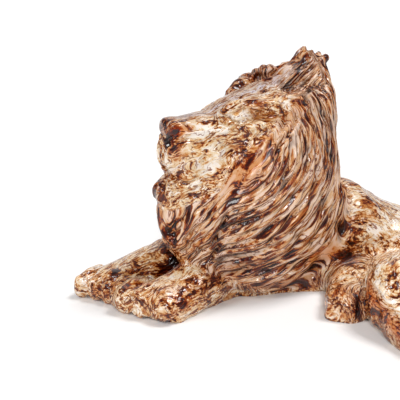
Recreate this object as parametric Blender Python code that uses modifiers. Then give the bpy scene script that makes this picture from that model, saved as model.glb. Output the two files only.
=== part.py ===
"""A recumbent lion, modelled by hand in marbled clay and fired as one piece.

The lion faces -Y and its left side is +X.  It lies on its belly with the forelegs stretched out
to its left, the head held high in a combed mane, and both hind legs thrown out to the left.
Lengths below are millimetres; the mesh is made in metres, with its origin at the middle of the
bounding box's underside.
"""

import math

import bmesh
import bpy
import numpy as np
from mathutils import Matrix, Vector

# Scale of the design: millimetres to metres
MM = 0.001

# Driving dimensions, in millimetres
BACK_HEIGHT = 104.0          # top of the withers above the ground
CREST_HEIGHT = 241.0         # highest lock of the mane
BODY_HALF_WIDTH = 53.0       # trunk behind the forelegs
NECK_HALF_WIDTH = 68.0       # mane at the level of the jaw
HEAD_YAW = 4.0               # degrees the face turns to the lion's left
HEAD_ROOT = (0.0, 105.0)     # plan position the head turns about
PAW_HEIGHT = 31.0            # forepaw over the toes
FORELEG_SPLAY = 36.0         # degrees the forelegs swing to the lion's left
PAWS = (                     # plan corner left of the toes, heading and width of each toe
    ((21.0, -103.0), FORELEG_SPLAY, (13.0, 14.0, 16.0, 25.0)),
    ((-30.0, -126.0), FORELEG_SPLAY, (16.0, 15.0, 14.0, 12.0)),
    ((230.0, 117.0), 94.0, (11.0, 10.0, 10.0, 9.0)),
)
TOE_LENGTH = 40.0
CREST_LOCKS = 7              # tips that stand up along the top of the mane
BROW_LINE = ((16, 101, 184, 3), (28, 86, 197, 5), (36, 64, 200, 5), (42, 48, 199, 4))
RIGHT_BROW_SHIFT = (-10, -14)  # the right brow sits further back and lower than the left
CHEEKBONE_LINE = ((15, 136, 173), (21, 112, 175), (31, 86, 179), (40, 64, 181), (45, 48, 177))
TAIL_RADIUS = 9.0
TAIL_LINE = ((86, 312, 10), (72, 334, 10), (38, 328, 9), (10, 300, 9), (-20, 268, 8),
             (-42, 236, 8), (-57, 206, 11), (-60, 188, 9))

# Mane carving, in millimetres
LOCK_PITCH = 15.0            # distance between two main grooves across the nape
FLOW_BLUR = 6.0              # how far the flow lines blend into each other
LOCK_DEPTH = 2.6             # depth of a main groove
LOCKS_PER_ROW = 1.5          # main locks between two of the flow lines below
LOCK_FLOW = (                # (Y, Z) of four points down each flow line, front line first
    ((0, 128), (-8, 92), (-20, 62), (-34, 40)),
    ((44, 186), (24, 138), (-4, 88), (-26, 48)),
    ((60, 186), (38, 142), (8, 90), (-24, 40)),
    ((77, 190), (63, 135), (26, 86), (-16, 36)),
    ((94, 212), (84, 135), (44, 86), (-12, 30)),
    ((113, 224), (105, 135), (62, 80), (-10, 24)),
    ((127, 219), (126, 135), (86, 74), (-4, 16)),
    ((142, 222), (138, 122), (104, 60), (12, 6)),
    ((154, 215), (148, 110), (130, 50), (60, 0)),
)

# Fusing and finish, in millimetres
MASS_VOXEL = 3.0             # grid that fuses the large masses
DETAIL_VOXEL = 2.2           # grid that fuses toes, ears and brows
RING_POINTS = 40             # points round a lofted section
RINGS_PER_SPAN = 8           # rings between two stations
MASS_RUBBING = 6             # smoothing passes over the joints of the masses
DETAIL_RUBBING = 3           # smoothing passes once the details are on
TRIANGLES = 10200            # faces left after the surface is simplified
CUTTER_SIZE = 1000.0         # edge of the block under the ground

# Look of the fired clay, averaged over its veins
CLAY_COLOUR = (0.37, 0.21, 0.11)
CLAY_ROUGHNESS = 0.18


def direction(yaw_degrees):
    """Return the level unit vectors ahead and to the left for a heading turned from -Y to +X."""
    turn = math.radians(yaw_degrees)
    ahead = np.array((math.sin(turn), -math.cos(turn), 0.0))
    left = np.array((math.cos(turn), math.sin(turn), 0.0))
    return ahead, left


def head_point(across, forward, height):
    """Place a point given across the head, forward of its root and above the ground."""
    ahead, left = direction(HEAD_YAW)
    return np.array((*HEAD_ROOT, height)) + ahead * forward + left * across


def smooth_path(values, count):
    """Pass a cubic through rows of values, with the slope at each row from its neighbours."""
    rows = np.asarray(values, dtype=float)
    padded = np.vstack((2 * rows[0] - rows[1], rows, 2 * rows[-1] - rows[-2]))
    slopes = (padded[2:] - padded[:-2]) / 2
    spans = len(rows) - 1
    place = np.linspace(0, spans, spans * count + 1)
    left = np.minimum(place.astype(int), spans - 1)
    t = (place - left)[:, None]
    a = 2 * t**3 - 3 * t**2 + 1
    b = t**3 - 2 * t**2 + t
    c = -2 * t**3 + 3 * t**2
    d = t**3 - t**2
    return a * rows[left] + b * slopes[left] + c * rows[left + 1] + d * slopes[left + 1]


def loft(name, stations, hint=(0.0, 0.0, 1.0), cap=0.5):
    """Make a closed form from stations of x, y, z, half width, half height and squareness.

    Each section is a superellipse square to the path, with its height towards the hint.  The ends
    are rounded over by rings that shrink on a quarter ellipse, cap half widths long.
    """
    rows = smooth_path(stations, RINGS_PER_SPAN)
    centres = rows[:, :3]
    tangents = np.gradient(centres, axis=0)
    tangents /= np.linalg.norm(tangents, axis=1)[:, None]
    sides = np.cross(tangents, np.asarray(hint))
    sides /= np.linalg.norm(sides, axis=1)[:, None]
    ups = np.cross(sides, tangents)
    lean = np.radians((75, 50, 25))
    head = [(0, -math.sin(a), math.cos(a)) for a in lean]
    tail = [(-1, math.sin(a), math.cos(a)) for a in lean[::-1]]
    order = head + [(i, 0.0, 1.0) for i in range(len(rows))] + tail
    angle = np.linspace(0, 2 * math.pi, RING_POINTS, endpoint=False)
    cos, sin = np.cos(angle), np.sin(angle)
    rings = []
    for index, push, scale in order:
        wide, tall, square = rows[index, 3:6]
        power = 2.0 / max(square, 1.0)
        x = np.sign(cos) * np.abs(cos) ** power * wide * scale
        y = np.sign(sin) * np.abs(sin) ** power * tall * scale
        middle = centres[index] + tangents[index] * push * cap * min(wide, tall)
        rings.append(middle + x[:, None] * sides[index] + y[:, None] * ups[index])
    points = np.vstack(rings)
    faces = []
    for ring in range(len(rings) - 1):
        low = ring * RING_POINTS
        for step in range(RING_POINTS):
            after = (step + 1) % RING_POINTS
            faces.append((low + step, low + RING_POINTS + step, low + RING_POINTS + after, low + after))
    faces.append(tuple(range(RING_POINTS)))
    faces.append(tuple(reversed(range(len(points) - RING_POINTS, len(points)))))
    mesh = bpy.data.meshes.new(name)
    mesh.from_pydata((points * MM).tolist(), [], faces)
    return make_outward(bpy.data.objects.new(name, mesh))


def ball(name, centre, radii, yaw=0.0, pitch=0.0, roll=0.0):
    """Make an ellipsoid whose radii run left, ahead and up before it is turned."""
    mesh = bpy.data.meshes.new(name)
    shape = bmesh.new()
    bmesh.ops.create_uvsphere(shape, u_segments=28, v_segments=18, radius=1.0)
    turn = Matrix.Rotation(math.radians(yaw), 4, "Z") @ Matrix.Rotation(math.radians(pitch), 4, "X")
    turn = turn @ Matrix.Rotation(math.radians(roll), 4, "Y")
    size = Matrix.Diagonal((*[r * MM for r in radii], 1.0))
    shape.transform(Matrix.Translation(Vector(centre) * MM) @ turn @ size)
    shape.to_mesh(mesh)
    shape.free()
    return bpy.data.objects.new(name, mesh)


def make_outward(obj):
    """Turn every face of a closed form outwards."""
    shape = bmesh.new()
    shape.from_mesh(obj.data)
    bmesh.ops.recalc_face_normals(shape, faces=shape.faces)
    shape.to_mesh(obj.data)
    shape.free()
    return obj


def trunk_forms():
    """Return the trunk: upright over the forelegs, sinking and curling left towards the rump."""
    stations = []
    for x, y, height_share, width_share, buried in (
        (0, 40, 0.92, 0.68, 36),
        (0, 80, 0.98, 0.79, 42),
        (0, 130, 0.99, 1.06, 43),
        (0, 168, 0.95, 1.08, 39),
        (6, 200, 0.72, 1.06, 19),
        (22, 234, 0.58, 1.02, 12),
        (44, 270, 0.60, 0.98, 14),
        (68, 302, 0.54, 0.75, 12),
    ):
        top = height_share * BACK_HEIGHT
        half_width = width_share * BODY_HALF_WIDTH
        stations.append((x, y, (top - buried) / 2, half_width, (top + buried) / 2, 2.4))
    trunk = loft("trunk", stations)
    tail = loft("tail", [(x, y, TAIL_RADIUS, thick, thick, 2.0) for x, y, thick in TAIL_LINE])
    return [trunk, tail]


def mane_forms():
    """Return the mane: a column that leans back to the crest, wide at the shoulders."""
    column = loft("mane", [
        (x, y, z, width_share * NECK_HALF_WIDTH, half_depth, 2.3)
        for x, y, z, width_share, half_depth in (
            (2, 84, 6, 0.42, 60),
            (3, 80, 30, 0.68, 74),
            (4, 76, 60, 0.90, 81),
            (4, 74, 90, 0.97, 81),
            (4, 75, 118, 0.98, 75),
            (4, 84, 145, 0.96, 64),
            (2, 97, 172, 0.88, 47),
            (0, 113, 198, 0.72, 28),
            (-1, 121, 218, 0.44, 16),
            (-1, 123, 231, 0.21, 8),
        )
    ], hint=(0, 1, 0))
    chest = loft("chest", (
        (4, 36, 28, 30, 42, 2.2),
        (4, 32, 55, 42, 54, 2.2),
        (5, 28, 85, 45, 58, 2.2),
        (5, 26, 112, 44, 52, 2.2),
        (4, 36, 140, 42, 44, 2.2),
    ), hint=(0, 1, 0))
    left_shoulder = ball("left_shoulder", (30, 62, 40), (26, 62, 40))
    right_shoulder = ball("right_shoulder", (-34, 50, 42), (26, 60, 42))
    return [column, chest, left_shoulder, right_shoulder]


def head_forms():
    """Return the wedge of the skull and muzzle, the jaw and the beard under it."""
    def station(forward, low, high, half_width, square):
        x, y, z = head_point(0, forward, (low + high) / 2)
        return (x, y, z, half_width, (high - low) / 2, square)
    skull = loft("skull", (
        station(141, 136, 184, 18, 2.8),
        station(128, 131, 186, 23, 3.0),
        station(108, 130, 185, 27, 3.0),
        station(94, 129, 187, 31, 2.6),
        station(82, 128, 195, 36, 2.4),
        station(62, 124, 204, 43, 2.3),
        station(36, 118, 212, 48, 2.3),
        station(8, 115, 219, 51, 2.3),
    ))
    jaw = loft("jaw", (
        station(150, 100, 126, 13, 2.4),
        station(133, 96, 132, 21, 2.4),
        station(100, 90, 134, 31, 2.4),
        station(62, 86, 140, 46, 2.4),
    ))
    cheek = loft("cheek", (
        station(134, 112, 152, 20, 2.3),
        station(104, 108, 156, 29, 2.3),
        station(70, 104, 160, 43, 2.3),
        station(44, 104, 160, 50, 2.3),
    ))
    beard = loft("beard", (
        (*head_point(2, 112, 122), 21, 40, 2.3),
        (*head_point(2, 111, 100), 24, 43, 2.3),
        (*head_point(2, 107, 78), 26, 44, 2.3),
        (*head_point(2, 96, 58), 28, 42, 2.3),
    ), hint=(0, 1, 0))
    return [skull, jaw, cheek, beard]


def face_forms():
    """Return the nose, and each side's brow, cheekbone and eye."""
    forms = [ball("nose", head_point(0, 141, 179), (17, 10, 8), yaw=HEAD_YAW)]
    for side, (push, lift) in ((1, (0, 0)), (-1, RIGHT_BROW_SHIFT)):
        forms.append(loft("brow", [
            (*head_point(side * across, forward + push, height + lift), thick, thick, 2.0)
            for across, forward, height, thick in BROW_LINE
        ]))
        forms.append(loft("cheekbone", [(*head_point(side * across, forward, height), 5, 5, 2.0)
                                        for across, forward, height in CHEEKBONE_LINE]))
        eye = head_point(side * 31, 76 + push, 190 + lift / 2)
        forms.append(ball("eye", eye, (6, 13, 6), yaw=HEAD_YAW))
    return forms


def ruff_forms():
    """Return the ruff round the face, the ears inside it and the locks of the crest."""
    forms = []
    for side, lift in ((1, 0), (-1, 3)):
        ridge = [(*head_point(side * across, forward, height), thick, thick, 2.0)
                 for across, forward, height, thick in (
                     (34, 58, 192 + lift, 6),
                     (41, 42, 199 + lift, 8),
                     (45, 22, 203 + lift, 10),
                     (49, 8, 186 + lift, 9),
                     (52, 22, 160, 8),
                     (51, 42, 138, 8),
                     (42, 66, 120, 7),
                     (33, 86, 106, 6),
                 )]
        forms.append(loft("ruff", ridge))
        for across, forward, height, radius in ((37, 40, 201, 9), (41, 16, 207, 10), (28, -4, 213, 11)):
            place = head_point(side * across, forward, height + lift)
            forms.append(ball("tuft", place, (radius, radius, radius * 0.9)))
        forms.append(ball("ear", head_point(side * 47, 30, 194), (8, 17, 12), yaw=HEAD_YAW))
    for step in range(CREST_LOCKS):
        share = step / (CREST_LOCKS - 1)
        across = 12 - 24 * share
        root = head_point(across * 1.3, 24 - 10 * share, 213)
        bend = head_point(across * 1.1, -2 - 8 * (1 - share), 226)
        tip = head_point(across, -26 + 11 * share, CREST_HEIGHT - 7 + 6 * share - 3 * (step % 2))
        forms.append(loft("crest_lock", (
            (*root, 7, 6, 2.0),
            (*bend, 6, 6, 2.0),
            (*tip, 3, 4, 2.0),
        ), cap=1.0))
    return forms


def foreleg_forms():
    """Return both forelegs, from under the mane to the paws."""
    near = loft("left_foreleg", (
        (4, 84, 16, 16, 34, 2.3),
        (6, 60, 20, 20, 40, 2.3),
        (13, 25, 20, 22, 32, 2.3),
        (23, -8, 17, 25, 26, 2.3),
        (34, -38, 13, 29, 21, 2.5),
        (40, -58, PAW_HEIGHT * 0.29, 32, PAW_HEIGHT * 0.71, 2.9),
    ))
    far = loft("right_foreleg", (
        (-26, 96, 12, 16, 30, 2.3),
        (-34, 62, 18, 22, 40, 2.3),
        (-36, 36, 20, 26, 42, 2.3),
        (-34, 0, 20, 26, 34, 2.3),
        (-31, -42, 14, 26, 27, 2.3),
        (-25, -74, 9, 26, 23, 2.5),
        (-18, -92, PAW_HEIGHT * 0.29, 27, PAW_HEIGHT * 0.71, 2.9),
    ))
    return [near, far]


def toe_forms():
    """Return the toes, side by side along each paw's front edge."""
    forms = []
    for corner, yaw, widths in PAWS:
        ahead, left = direction(yaw)
        along = 0.0
        for width in widths:
            centre = np.array((*corner, PAW_HEIGHT * 0.35)) + left * (along + width / 2)
            centre = centre - ahead * TOE_LENGTH * 0.5
            radii = (width * 0.58, TOE_LENGTH * 0.5, PAW_HEIGHT * 0.58)
            forms.append(ball("toe", centre, radii, yaw=yaw))
            along += width
    return forms


def hindleg_forms():
    """Return the right hind foot, the left hind leg and the groin that fills the space between."""
    foot = loft("right_hind_foot", (
        (44, 148, 8, 22, 24, 2.6),
        (80, 126, 8, 20, 23, 2.8),
        (119, 102, 8, 19, 21, 3.2),
    ))
    haunch = ball("left_haunch", (76, 246, 22), (42, 50, 37), yaw=-38)
    groin = ball("groin", (78, 182, 6), (52, 46, 34))
    thigh = loft("left_thigh", (
        (84, 236, 22, 40, 37, 2.2),
        (103, 208, 24, 34, 38, 2.2),
        (122, 176, 26, 27, 38, 2.3),
        (141, 142, 28, 19, 38, 2.3),
        (145, 130, 27, 16, 36, 2.3),
    ))
    shin = loft("left_shin", (
        (136, 134, 30, 18, 36, 2.3),
        (152, 130, 28, 18, 36, 2.3),
        (170, 130, 20, 18, 24, 2.4),
        (190, 132, 12, 20, 24, 2.5),
        (214, 136, 8, 21, 22, 2.6),
    ))
    return [foot, haunch, groin, thigh, shin]


def join(name, forms):
    """Put several closed forms into one object, still overlapping."""
    mesh = bpy.data.meshes.new(name)
    shape = bmesh.new()
    for form in forms:
        shape.from_mesh(form.data)
    shape.to_mesh(mesh)
    shape.free()
    for form in forms:
        bpy.data.objects.remove(form)
    joined = bpy.data.objects.new(name, mesh)
    bpy.context.scene.collection.objects.link(joined)
    return joined


def settle(obj):
    """Apply an object's modifiers by replacing its mesh with the evaluated one."""
    bpy.context.view_layer.update()
    depsgraph = bpy.context.evaluated_depsgraph_get()
    mesh = bpy.data.meshes.new_from_object(obj.evaluated_get(depsgraph))
    obj.modifiers.clear()
    obj.data = mesh
    return obj


def fuse(obj, voxel, rounds):
    """Fuse overlapping forms on a grid, then rub the joins down like clay."""
    remesh = obj.modifiers.new("fuse", "REMESH")
    remesh.mode = "VOXEL"
    remesh.voxel_size = voxel * MM
    rub = obj.modifiers.new("rub", "SMOOTH")
    rub.factor = 0.5
    rub.iterations = rounds
    return settle(obj)


def fade(value, start, end):
    """Return 0 at start, 1 at end and an S-shaped step between."""
    share = np.clip((value - start) / (end - start), 0, 1)
    return share * share * (3 - 2 * share)


def mane_mask(points, normals):
    """Return how much each point belongs to the mane: not the face, the trunk or the paws."""
    ahead, left = direction(HEAD_YAW)
    plan = points - np.array((*HEAD_ROOT, 0.0))
    forward = plan @ ahead
    height = points[:, 2]
    face_edge = np.interp(height, (80, 108, 138, 160, 190, 208), (170, 88, 49, 30, 16, 8))
    back_edge = np.interp(height, (10, 50, 100, 130), (100, 132, 158, 300))
    face = fade(forward, face_edge + 4, face_edge - 4)
    trunk = fade(points[:, 1], back_edge + 6, back_edge - 6)
    leg_top = np.interp(points[:, 1], (-30, 20, 60), (52, 34, 10))
    legs = fade(height, leg_top - 6, leg_top + 6)
    top = 1 - fade(normals[:, 2], 0.6, 0.85)
    return face * trunk * legs * top


def lock_row(points):
    """Return where each point lies between the flow lines, 0 on the first and 8 on the last.

    The lines are filled in to a dense family, and the rows of its members near a point, seen from
    the side, are averaged with a bell-shaped weight.
    """
    lines = np.array(LOCK_FLOW, dtype=float)
    across = smooth_path(lines.reshape(len(lines), -1), 4)
    family = [smooth_path(line.reshape(-1, 2), 8) for line in across]
    rows = np.repeat(np.linspace(0, len(lines) - 1, len(family)), len(family[0]))
    samples = np.vstack(family)
    result = np.empty(len(points))
    for start in range(0, len(points), 4000):
        part = points[start:start + 4000, 1:3]
        far = ((part[:, None, :] - samples[None]) ** 2).sum(axis=2)
        weight = np.exp(-(far - far.min(axis=1, keepdims=True)) / (2 * FLOW_BLUR**2))
        result[start:start + 4000] = (weight @ rows) / weight.sum(axis=1)
    return result


def carve_locks(obj):
    """Press the main grooves of the combed mane into the surface.

    The phase counts locks between the flow lines.  It also falls away from the middle of the
    body, so that where the surface faces forwards or back the locks run downwards.
    """
    count = len(obj.data.vertices)
    points = np.empty(count * 3)
    obj.data.vertices.foreach_get("co", points)
    points = points.reshape(-1, 3) / MM
    normals = np.array([vertex.normal[:] for vertex in obj.data.vertices])
    phase = LOCKS_PER_ROW * lock_row(points) - np.abs(points[:, 0] - 4) / LOCK_PITCH
    phase += 0.12 * np.sin(points[:, 2] / 17 + points[:, 0] / 23)
    groove = 1 - np.abs(np.sin(math.pi * phase)) ** 0.7
    depth = LOCK_DEPTH * groove * mane_mask(points, normals)
    points -= normals * depth[:, None]
    obj.data.vertices.foreach_set("co", (points * MM).ravel())
    obj.data.update()


def simplify(obj, triangles):
    """Thin the surface to the given number of triangles."""
    obj.data.calc_loop_triangles()
    thin = obj.modifiers.new("thin", "DECIMATE")
    thin.ratio = triangles / len(obj.data.loop_triangles)
    thin.use_collapse_triangulate = True
    return settle(obj)


def ground_cutter():
    """Return a block whose top is the ground plane, to cut the underside flat."""
    mesh = bpy.data.meshes.new("ground_cutter")
    shape = bmesh.new()
    bmesh.ops.create_cube(shape, size=CUTTER_SIZE * MM)
    bmesh.ops.translate(shape, verts=shape.verts, vec=(0, 0, -CUTTER_SIZE * MM / 2))
    shape.to_mesh(mesh)
    shape.free()
    cutter = bpy.data.objects.new("ground_cutter", mesh)
    cutter.hide_render = True
    cutter.display_type = "WIRE"
    return cutter


def glazed_clay():
    """Return the material of the glazed, marbled clay in its average colour."""
    material = bpy.data.materials.new("glazed_marbled_clay")
    material.use_nodes = True
    shader = material.node_tree.nodes["Principled BSDF"]
    shader.inputs["Base Color"].default_value = (*CLAY_COLOUR, 1.0)
    shader.inputs["Roughness"].default_value = CLAY_ROUGHNESS
    shader.inputs["Metallic"].default_value = 0.0
    return material


def new_collection(name):
    """Add a collection to the scene."""
    collection = bpy.data.collections.new(name)
    bpy.context.scene.collection.children.link(collection)
    return collection


def model_lion():
    """Return the lion as one closed mesh, not yet cut flat underneath."""
    masses = trunk_forms() + mane_forms() + head_forms() + foreleg_forms() + hindleg_forms()
    body = fuse(join("masses", masses), MASS_VOXEL, MASS_RUBBING)
    details = face_forms() + ruff_forms() + toe_forms()
    lion = fuse(join("lion", [body] + details), DETAIL_VOXEL, DETAIL_RUBBING)
    carve_locks(lion)
    return simplify(lion, TRIANGLES)


def place_on_ground(lion, cutter):
    """Cut the underside flat and move the lion so that its box stands centred on the origin."""
    cut = lion.modifiers.new("flatten", "BOOLEAN")
    cut.operation = "DIFFERENCE"
    cut.object = cutter
    corners = np.array([vertex.co[:2] for vertex in lion.data.vertices])
    middle = (corners.min(axis=0) + corners.max(axis=0)) / 2
    lion.location = (-middle[0], -middle[1], 0.0)


def main():
    """Model the lion and leave it on the ground in its own collection."""
    for old in list(bpy.data.objects):
        bpy.data.objects.remove(old)
    lion = model_lion()
    lion.data.materials.clear()
    lion.data.materials.append(glazed_clay())
    lion.data.shade_smooth()
    cutter = ground_cutter()
    new_collection("cutters").objects.link(cutter)
    bpy.context.scene.collection.objects.unlink(lion)
    new_collection("recumbent_lion").objects.link(lion)
    place_on_ground(lion, cutter)


main()
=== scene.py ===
"""A recumbent lion of marbled clay under a clear glaze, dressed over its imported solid.

The lion is modelled in design millimetres: it faces -Y, its left side is +X and it lies on z = 0.
The head has measures of its own: across to the lion's left, forward of the head's root, and height.
Masses are lofted sections and ellipsoids, melted into one skin on a grid.  The skin is then worked
with a tool: the locks of the mane, the face and the toes are pressed in or laid on.  The marbling
follows the same flow lines as the locks, and the run of each limb where there are none.
"""

import logging
import math
from dataclasses import dataclass, field
from enum import Enum

import bmesh
import bpy
import numpy as np
from mathutils import Matrix, Vector
from numpy.typing import NDArray


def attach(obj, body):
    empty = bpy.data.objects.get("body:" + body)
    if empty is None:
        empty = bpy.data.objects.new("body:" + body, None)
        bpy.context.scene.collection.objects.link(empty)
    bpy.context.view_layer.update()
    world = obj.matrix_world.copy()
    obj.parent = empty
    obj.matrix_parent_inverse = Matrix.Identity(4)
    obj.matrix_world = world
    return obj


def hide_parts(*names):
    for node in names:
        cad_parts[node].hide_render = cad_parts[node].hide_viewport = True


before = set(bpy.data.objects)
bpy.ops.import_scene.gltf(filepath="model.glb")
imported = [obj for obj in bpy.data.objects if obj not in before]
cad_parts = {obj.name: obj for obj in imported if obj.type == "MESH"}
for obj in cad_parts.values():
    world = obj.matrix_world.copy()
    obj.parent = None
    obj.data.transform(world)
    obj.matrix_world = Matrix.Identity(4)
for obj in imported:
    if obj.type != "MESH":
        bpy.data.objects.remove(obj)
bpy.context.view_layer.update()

LOG = logging.getLogger("lion")

Array = NDArray[np.float64]

# Scale of the design, and the design's plan point that stands on the frame's origin
MM = 0.001
DESIGN_MIDDLE = (80.01, 111.04)


class Piece(Enum):
    """The node that is dressed, its body, and the name of a slot, which is not used here."""

    NODE = "lion"
    BODY = "root"
    SLOT = "glazed_clay"


@dataclass
class Form:
    """A closed form of triangles.

    Args:
        points: corner places in design millimetres, one row each.
        faces: corner numbers of each triangle, facing out.
    """

    points: Array
    faces: NDArray[np.int64]


def fade(value: Array, start: Array | float, end: Array | float) -> Array:
    """Step smoothly from 0 at start to 1 at end, along 3t² - 2t³.

    Args:
        value: where the step is read.
        start: value at which it leaves 0.
        end: value at which it reaches 1.

    Returns:
        The step at each value.
    """
    share = np.clip((value - start) / (end - start), 0.0, 1.0)
    return share * share * (3.0 - 2.0 * share)


def chance(*cells: Array) -> Array:
    """Scatter whole numbers into 0 to 1: the fraction of a large multiple of a sine.

    Args:
        cells: one or more arrays of whole numbers.

    Returns:
        A number from 0 to 1 for each combination, the same each run.
    """
    total = sum(cell * factor for cell, factor in zip(cells, (12.9898, 78.233, 37.719)))
    wave = np.sin(total + 4.137) * 43758.5453
    return wave - np.floor(wave)


def direction(yaw: float) -> tuple[Array, Array]:
    """Return level unit vectors ahead and to the left for a heading turned from -Y to +X.

    Args:
        yaw: heading in degrees.

    Returns:
        Unit vectors ahead and to the left.
    """
    turn = math.radians(yaw)
    ahead = np.array((math.sin(turn), -math.cos(turn), 0.0))
    left = np.array((math.cos(turn), math.sin(turn), 0.0))
    return ahead, left


def smooth_path(rows: Array, count: int) -> Array:
    """Pass a cubic through rows of values, its slope at each row from the neighbours.

    Args:
        rows: values to pass through, one row for each stop.
        count: steps between two stops.

    Returns:
        Rows along the path, evenly spread between the stops.
    """
    rows = np.asarray(rows, dtype=float)
    padded = np.vstack((2 * rows[0] - rows[1], rows, 2 * rows[-1] - rows[-2]))
    slopes = (padded[2:] - padded[:-2]) / 2
    spans = len(rows) - 1
    place = np.linspace(0, spans, spans * count + 1)
    low = np.minimum(place.astype(int), spans - 1)
    t = (place - low)[:, None]
    start = (2 * t**3 - 3 * t**2 + 1) * rows[low] + (t**3 - 2 * t**2 + t) * slopes[low]
    return start + (3 * t**2 - 2 * t**3) * rows[low + 1] + (t**3 - t**2) * slopes[low + 1]


def wrap(rings: Array) -> Form:
    """Close a grid of rings into a skin, with a point in the middle of each end ring.

    Corner (i, j) joins (i + 1, j) and (i, j + 1), counted round; the signed volume, the sum of
    a · (b × c) over the faces, says whether the faces have to be turned.

    Args:
        rings: places of shape (rings, corners, 3).

    Returns:
        The closed form.
    """
    count, corners = rings.shape[:2]
    points = np.vstack((rings.reshape(-1, 3), rings[0].mean(axis=0), rings[-1].mean(axis=0)))
    ring, step = np.meshgrid(np.arange(count - 1), np.arange(corners), indexing="ij")
    after = (step + 1) % corners
    a = (ring * corners + step).ravel()
    b = ((ring + 1) * corners + step).ravel()
    c = ((ring + 1) * corners + after).ravel()
    d = (ring * corners + after).ravel()
    low = np.arange(corners)
    high = (count - 1) * corners + low
    poles = np.full(corners, len(points) - 2), np.full(corners, len(points) - 1)
    faces = np.vstack((
        np.stack((a, b, c), axis=1),
        np.stack((a, c, d), axis=1),
        np.stack((poles[0], low, (low + 1) % corners), axis=1),
        np.stack((poles[1], (high - high[0] + 1) % corners + high[0], high), axis=1),
    ))
    corner = points[faces]
    volume = np.einsum("ij,ij->", corner[:, 0], np.cross(corner[:, 1], corner[:, 2]))
    return Form(points, faces if volume > 0 else faces[:, ::-1])


def loft(
    stations: list[tuple[float, ...]] | Array,
    hint: tuple[float, float, float] = (0.0, 0.0, 1.0),
    cap: float = 0.5,
    corners: int = 56,
    steps: int = 10,
) -> Form:
    """Carry a superellipse along a path.

    Each section is |x / width|^n + |y / height|^n = 1, square to the path, with its height
    towards the hint.  The ends shrink on a quarter ellipse, cap half widths long.

    Args:
        stations: rows of x, y, z, half width, half height and squareness n.
        hint: direction in which a section's height is measured.
        cap: length of a rounded end, in half widths.
        corners: points round a section.
        steps: sections between two stations.

    Returns:
        The closed form.
    """
    rows = smooth_path(np.asarray(stations, dtype=float), steps)
    tangents = np.gradient(rows[:, :3], axis=0)
    tangents /= np.linalg.norm(tangents, axis=1)[:, None]
    sides = np.cross(tangents, np.asarray(hint))
    sides /= np.linalg.norm(sides, axis=1)[:, None]
    ups = np.cross(sides, tangents)
    lean = np.radians(np.array((82.0, 64.0, 46.0, 28.0, 12.0)))
    first, last = np.zeros(len(lean), int), np.full(len(lean), len(rows) - 1)
    index = np.concatenate((first, np.arange(len(rows)), last))
    push = np.concatenate((-np.sin(lean), np.zeros(len(rows)), np.sin(lean[::-1])))
    scale = np.concatenate((np.cos(lean), np.ones(len(rows)), np.cos(lean[::-1])))
    angle = np.linspace(0.0, 2.0 * math.pi, corners, endpoint=False)
    cos, sin = np.cos(angle)[None], np.sin(angle)[None]
    wide, tall, square = (rows[index, column][:, None] for column in (3, 4, 5))
    power = 2.0 / np.maximum(square, 1.0)
    x = np.sign(cos) * np.abs(cos) ** power * wide * scale[:, None]
    y = np.sign(sin) * np.abs(sin) ** power * tall * scale[:, None]
    reach = (push * cap * np.minimum(wide, tall)[:, 0])[:, None]
    middle = rows[index, :3] + tangents[index] * reach
    rings = middle[:, None] + x[..., None] * sides[index, None] + y[..., None] * ups[index, None]
    return wrap(rings)


def ball(
    centre: Array | tuple[float, ...],
    radii: tuple[float, float, float],
    yaw: float = 0.0,
) -> Form:
    """Make an ellipsoid: rings of latitude on a sphere, stretched, turned and put in place.

    Args:
        centre: place of its middle.
        radii: reach to the left, ahead and up before it is turned.
        yaw: turn about the upright axis in degrees.

    Returns:
        The closed form.
    """
    latitude = np.radians(np.linspace(-84.0, 84.0, 23))[:, None]
    angle = np.linspace(0.0, 2.0 * math.pi, 36, endpoint=False)[None]
    rings = np.stack((
        np.cos(latitude) * np.cos(angle),
        np.cos(latitude) * np.sin(angle),
        np.sin(latitude) * np.ones_like(angle),
    ), axis=-1)
    turn = np.array(Matrix.Rotation(math.radians(yaw), 3, "Z"))
    return wrap(rings * np.array(radii) @ turn.T + np.asarray(centre, dtype=float))


def new_mesh(name: str, points: Array, faces: NDArray[np.int64]) -> bpy.types.Object:
    """Put triangles into a mesh object in the scene, design millimetres turned to metres.

    Args:
        name: name of the object and its mesh.
        points: corner places in millimetres.
        faces: corner numbers of each triangle.

    Returns:
        The new object.
    """
    mesh = bpy.data.meshes.new(name)
    mesh.vertices.add(len(points))
    mesh.vertices.foreach_set("co", (points * MM).astype(np.float32).ravel())
    mesh.loops.add(faces.size)
    mesh.loops.foreach_set("vertex_index", faces.astype(np.int32).ravel())
    mesh.polygons.add(len(faces))
    mesh.polygons.foreach_set("loop_start", np.arange(0, faces.size, 3, dtype=np.int32))
    mesh.update(calc_edges=True)
    obj = bpy.data.objects.new(name, mesh)
    bpy.context.scene.collection.objects.link(obj)
    return obj


def read_mesh(mesh: bpy.types.Mesh) -> tuple[Array, NDArray[np.int64], Array]:
    """Read a mesh as triangles.

    Args:
        mesh: the mesh to read.

    Returns:
        Its points in millimetres, its triangles and its point normals.
    """
    mesh.calc_loop_triangles()
    points = np.empty(len(mesh.vertices) * 3)
    mesh.vertices.foreach_get("co", points)
    faces = np.empty(len(mesh.loop_triangles) * 3, dtype=np.int32)
    mesh.loop_triangles.foreach_get("vertices", faces)
    normals = np.empty(len(mesh.vertices) * 3)
    mesh.vertex_normals.foreach_get("vector", normals)
    return points.reshape(-1, 3) / MM, faces.reshape(-1, 3).astype(np.int64), normals.reshape(-1, 3)


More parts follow.
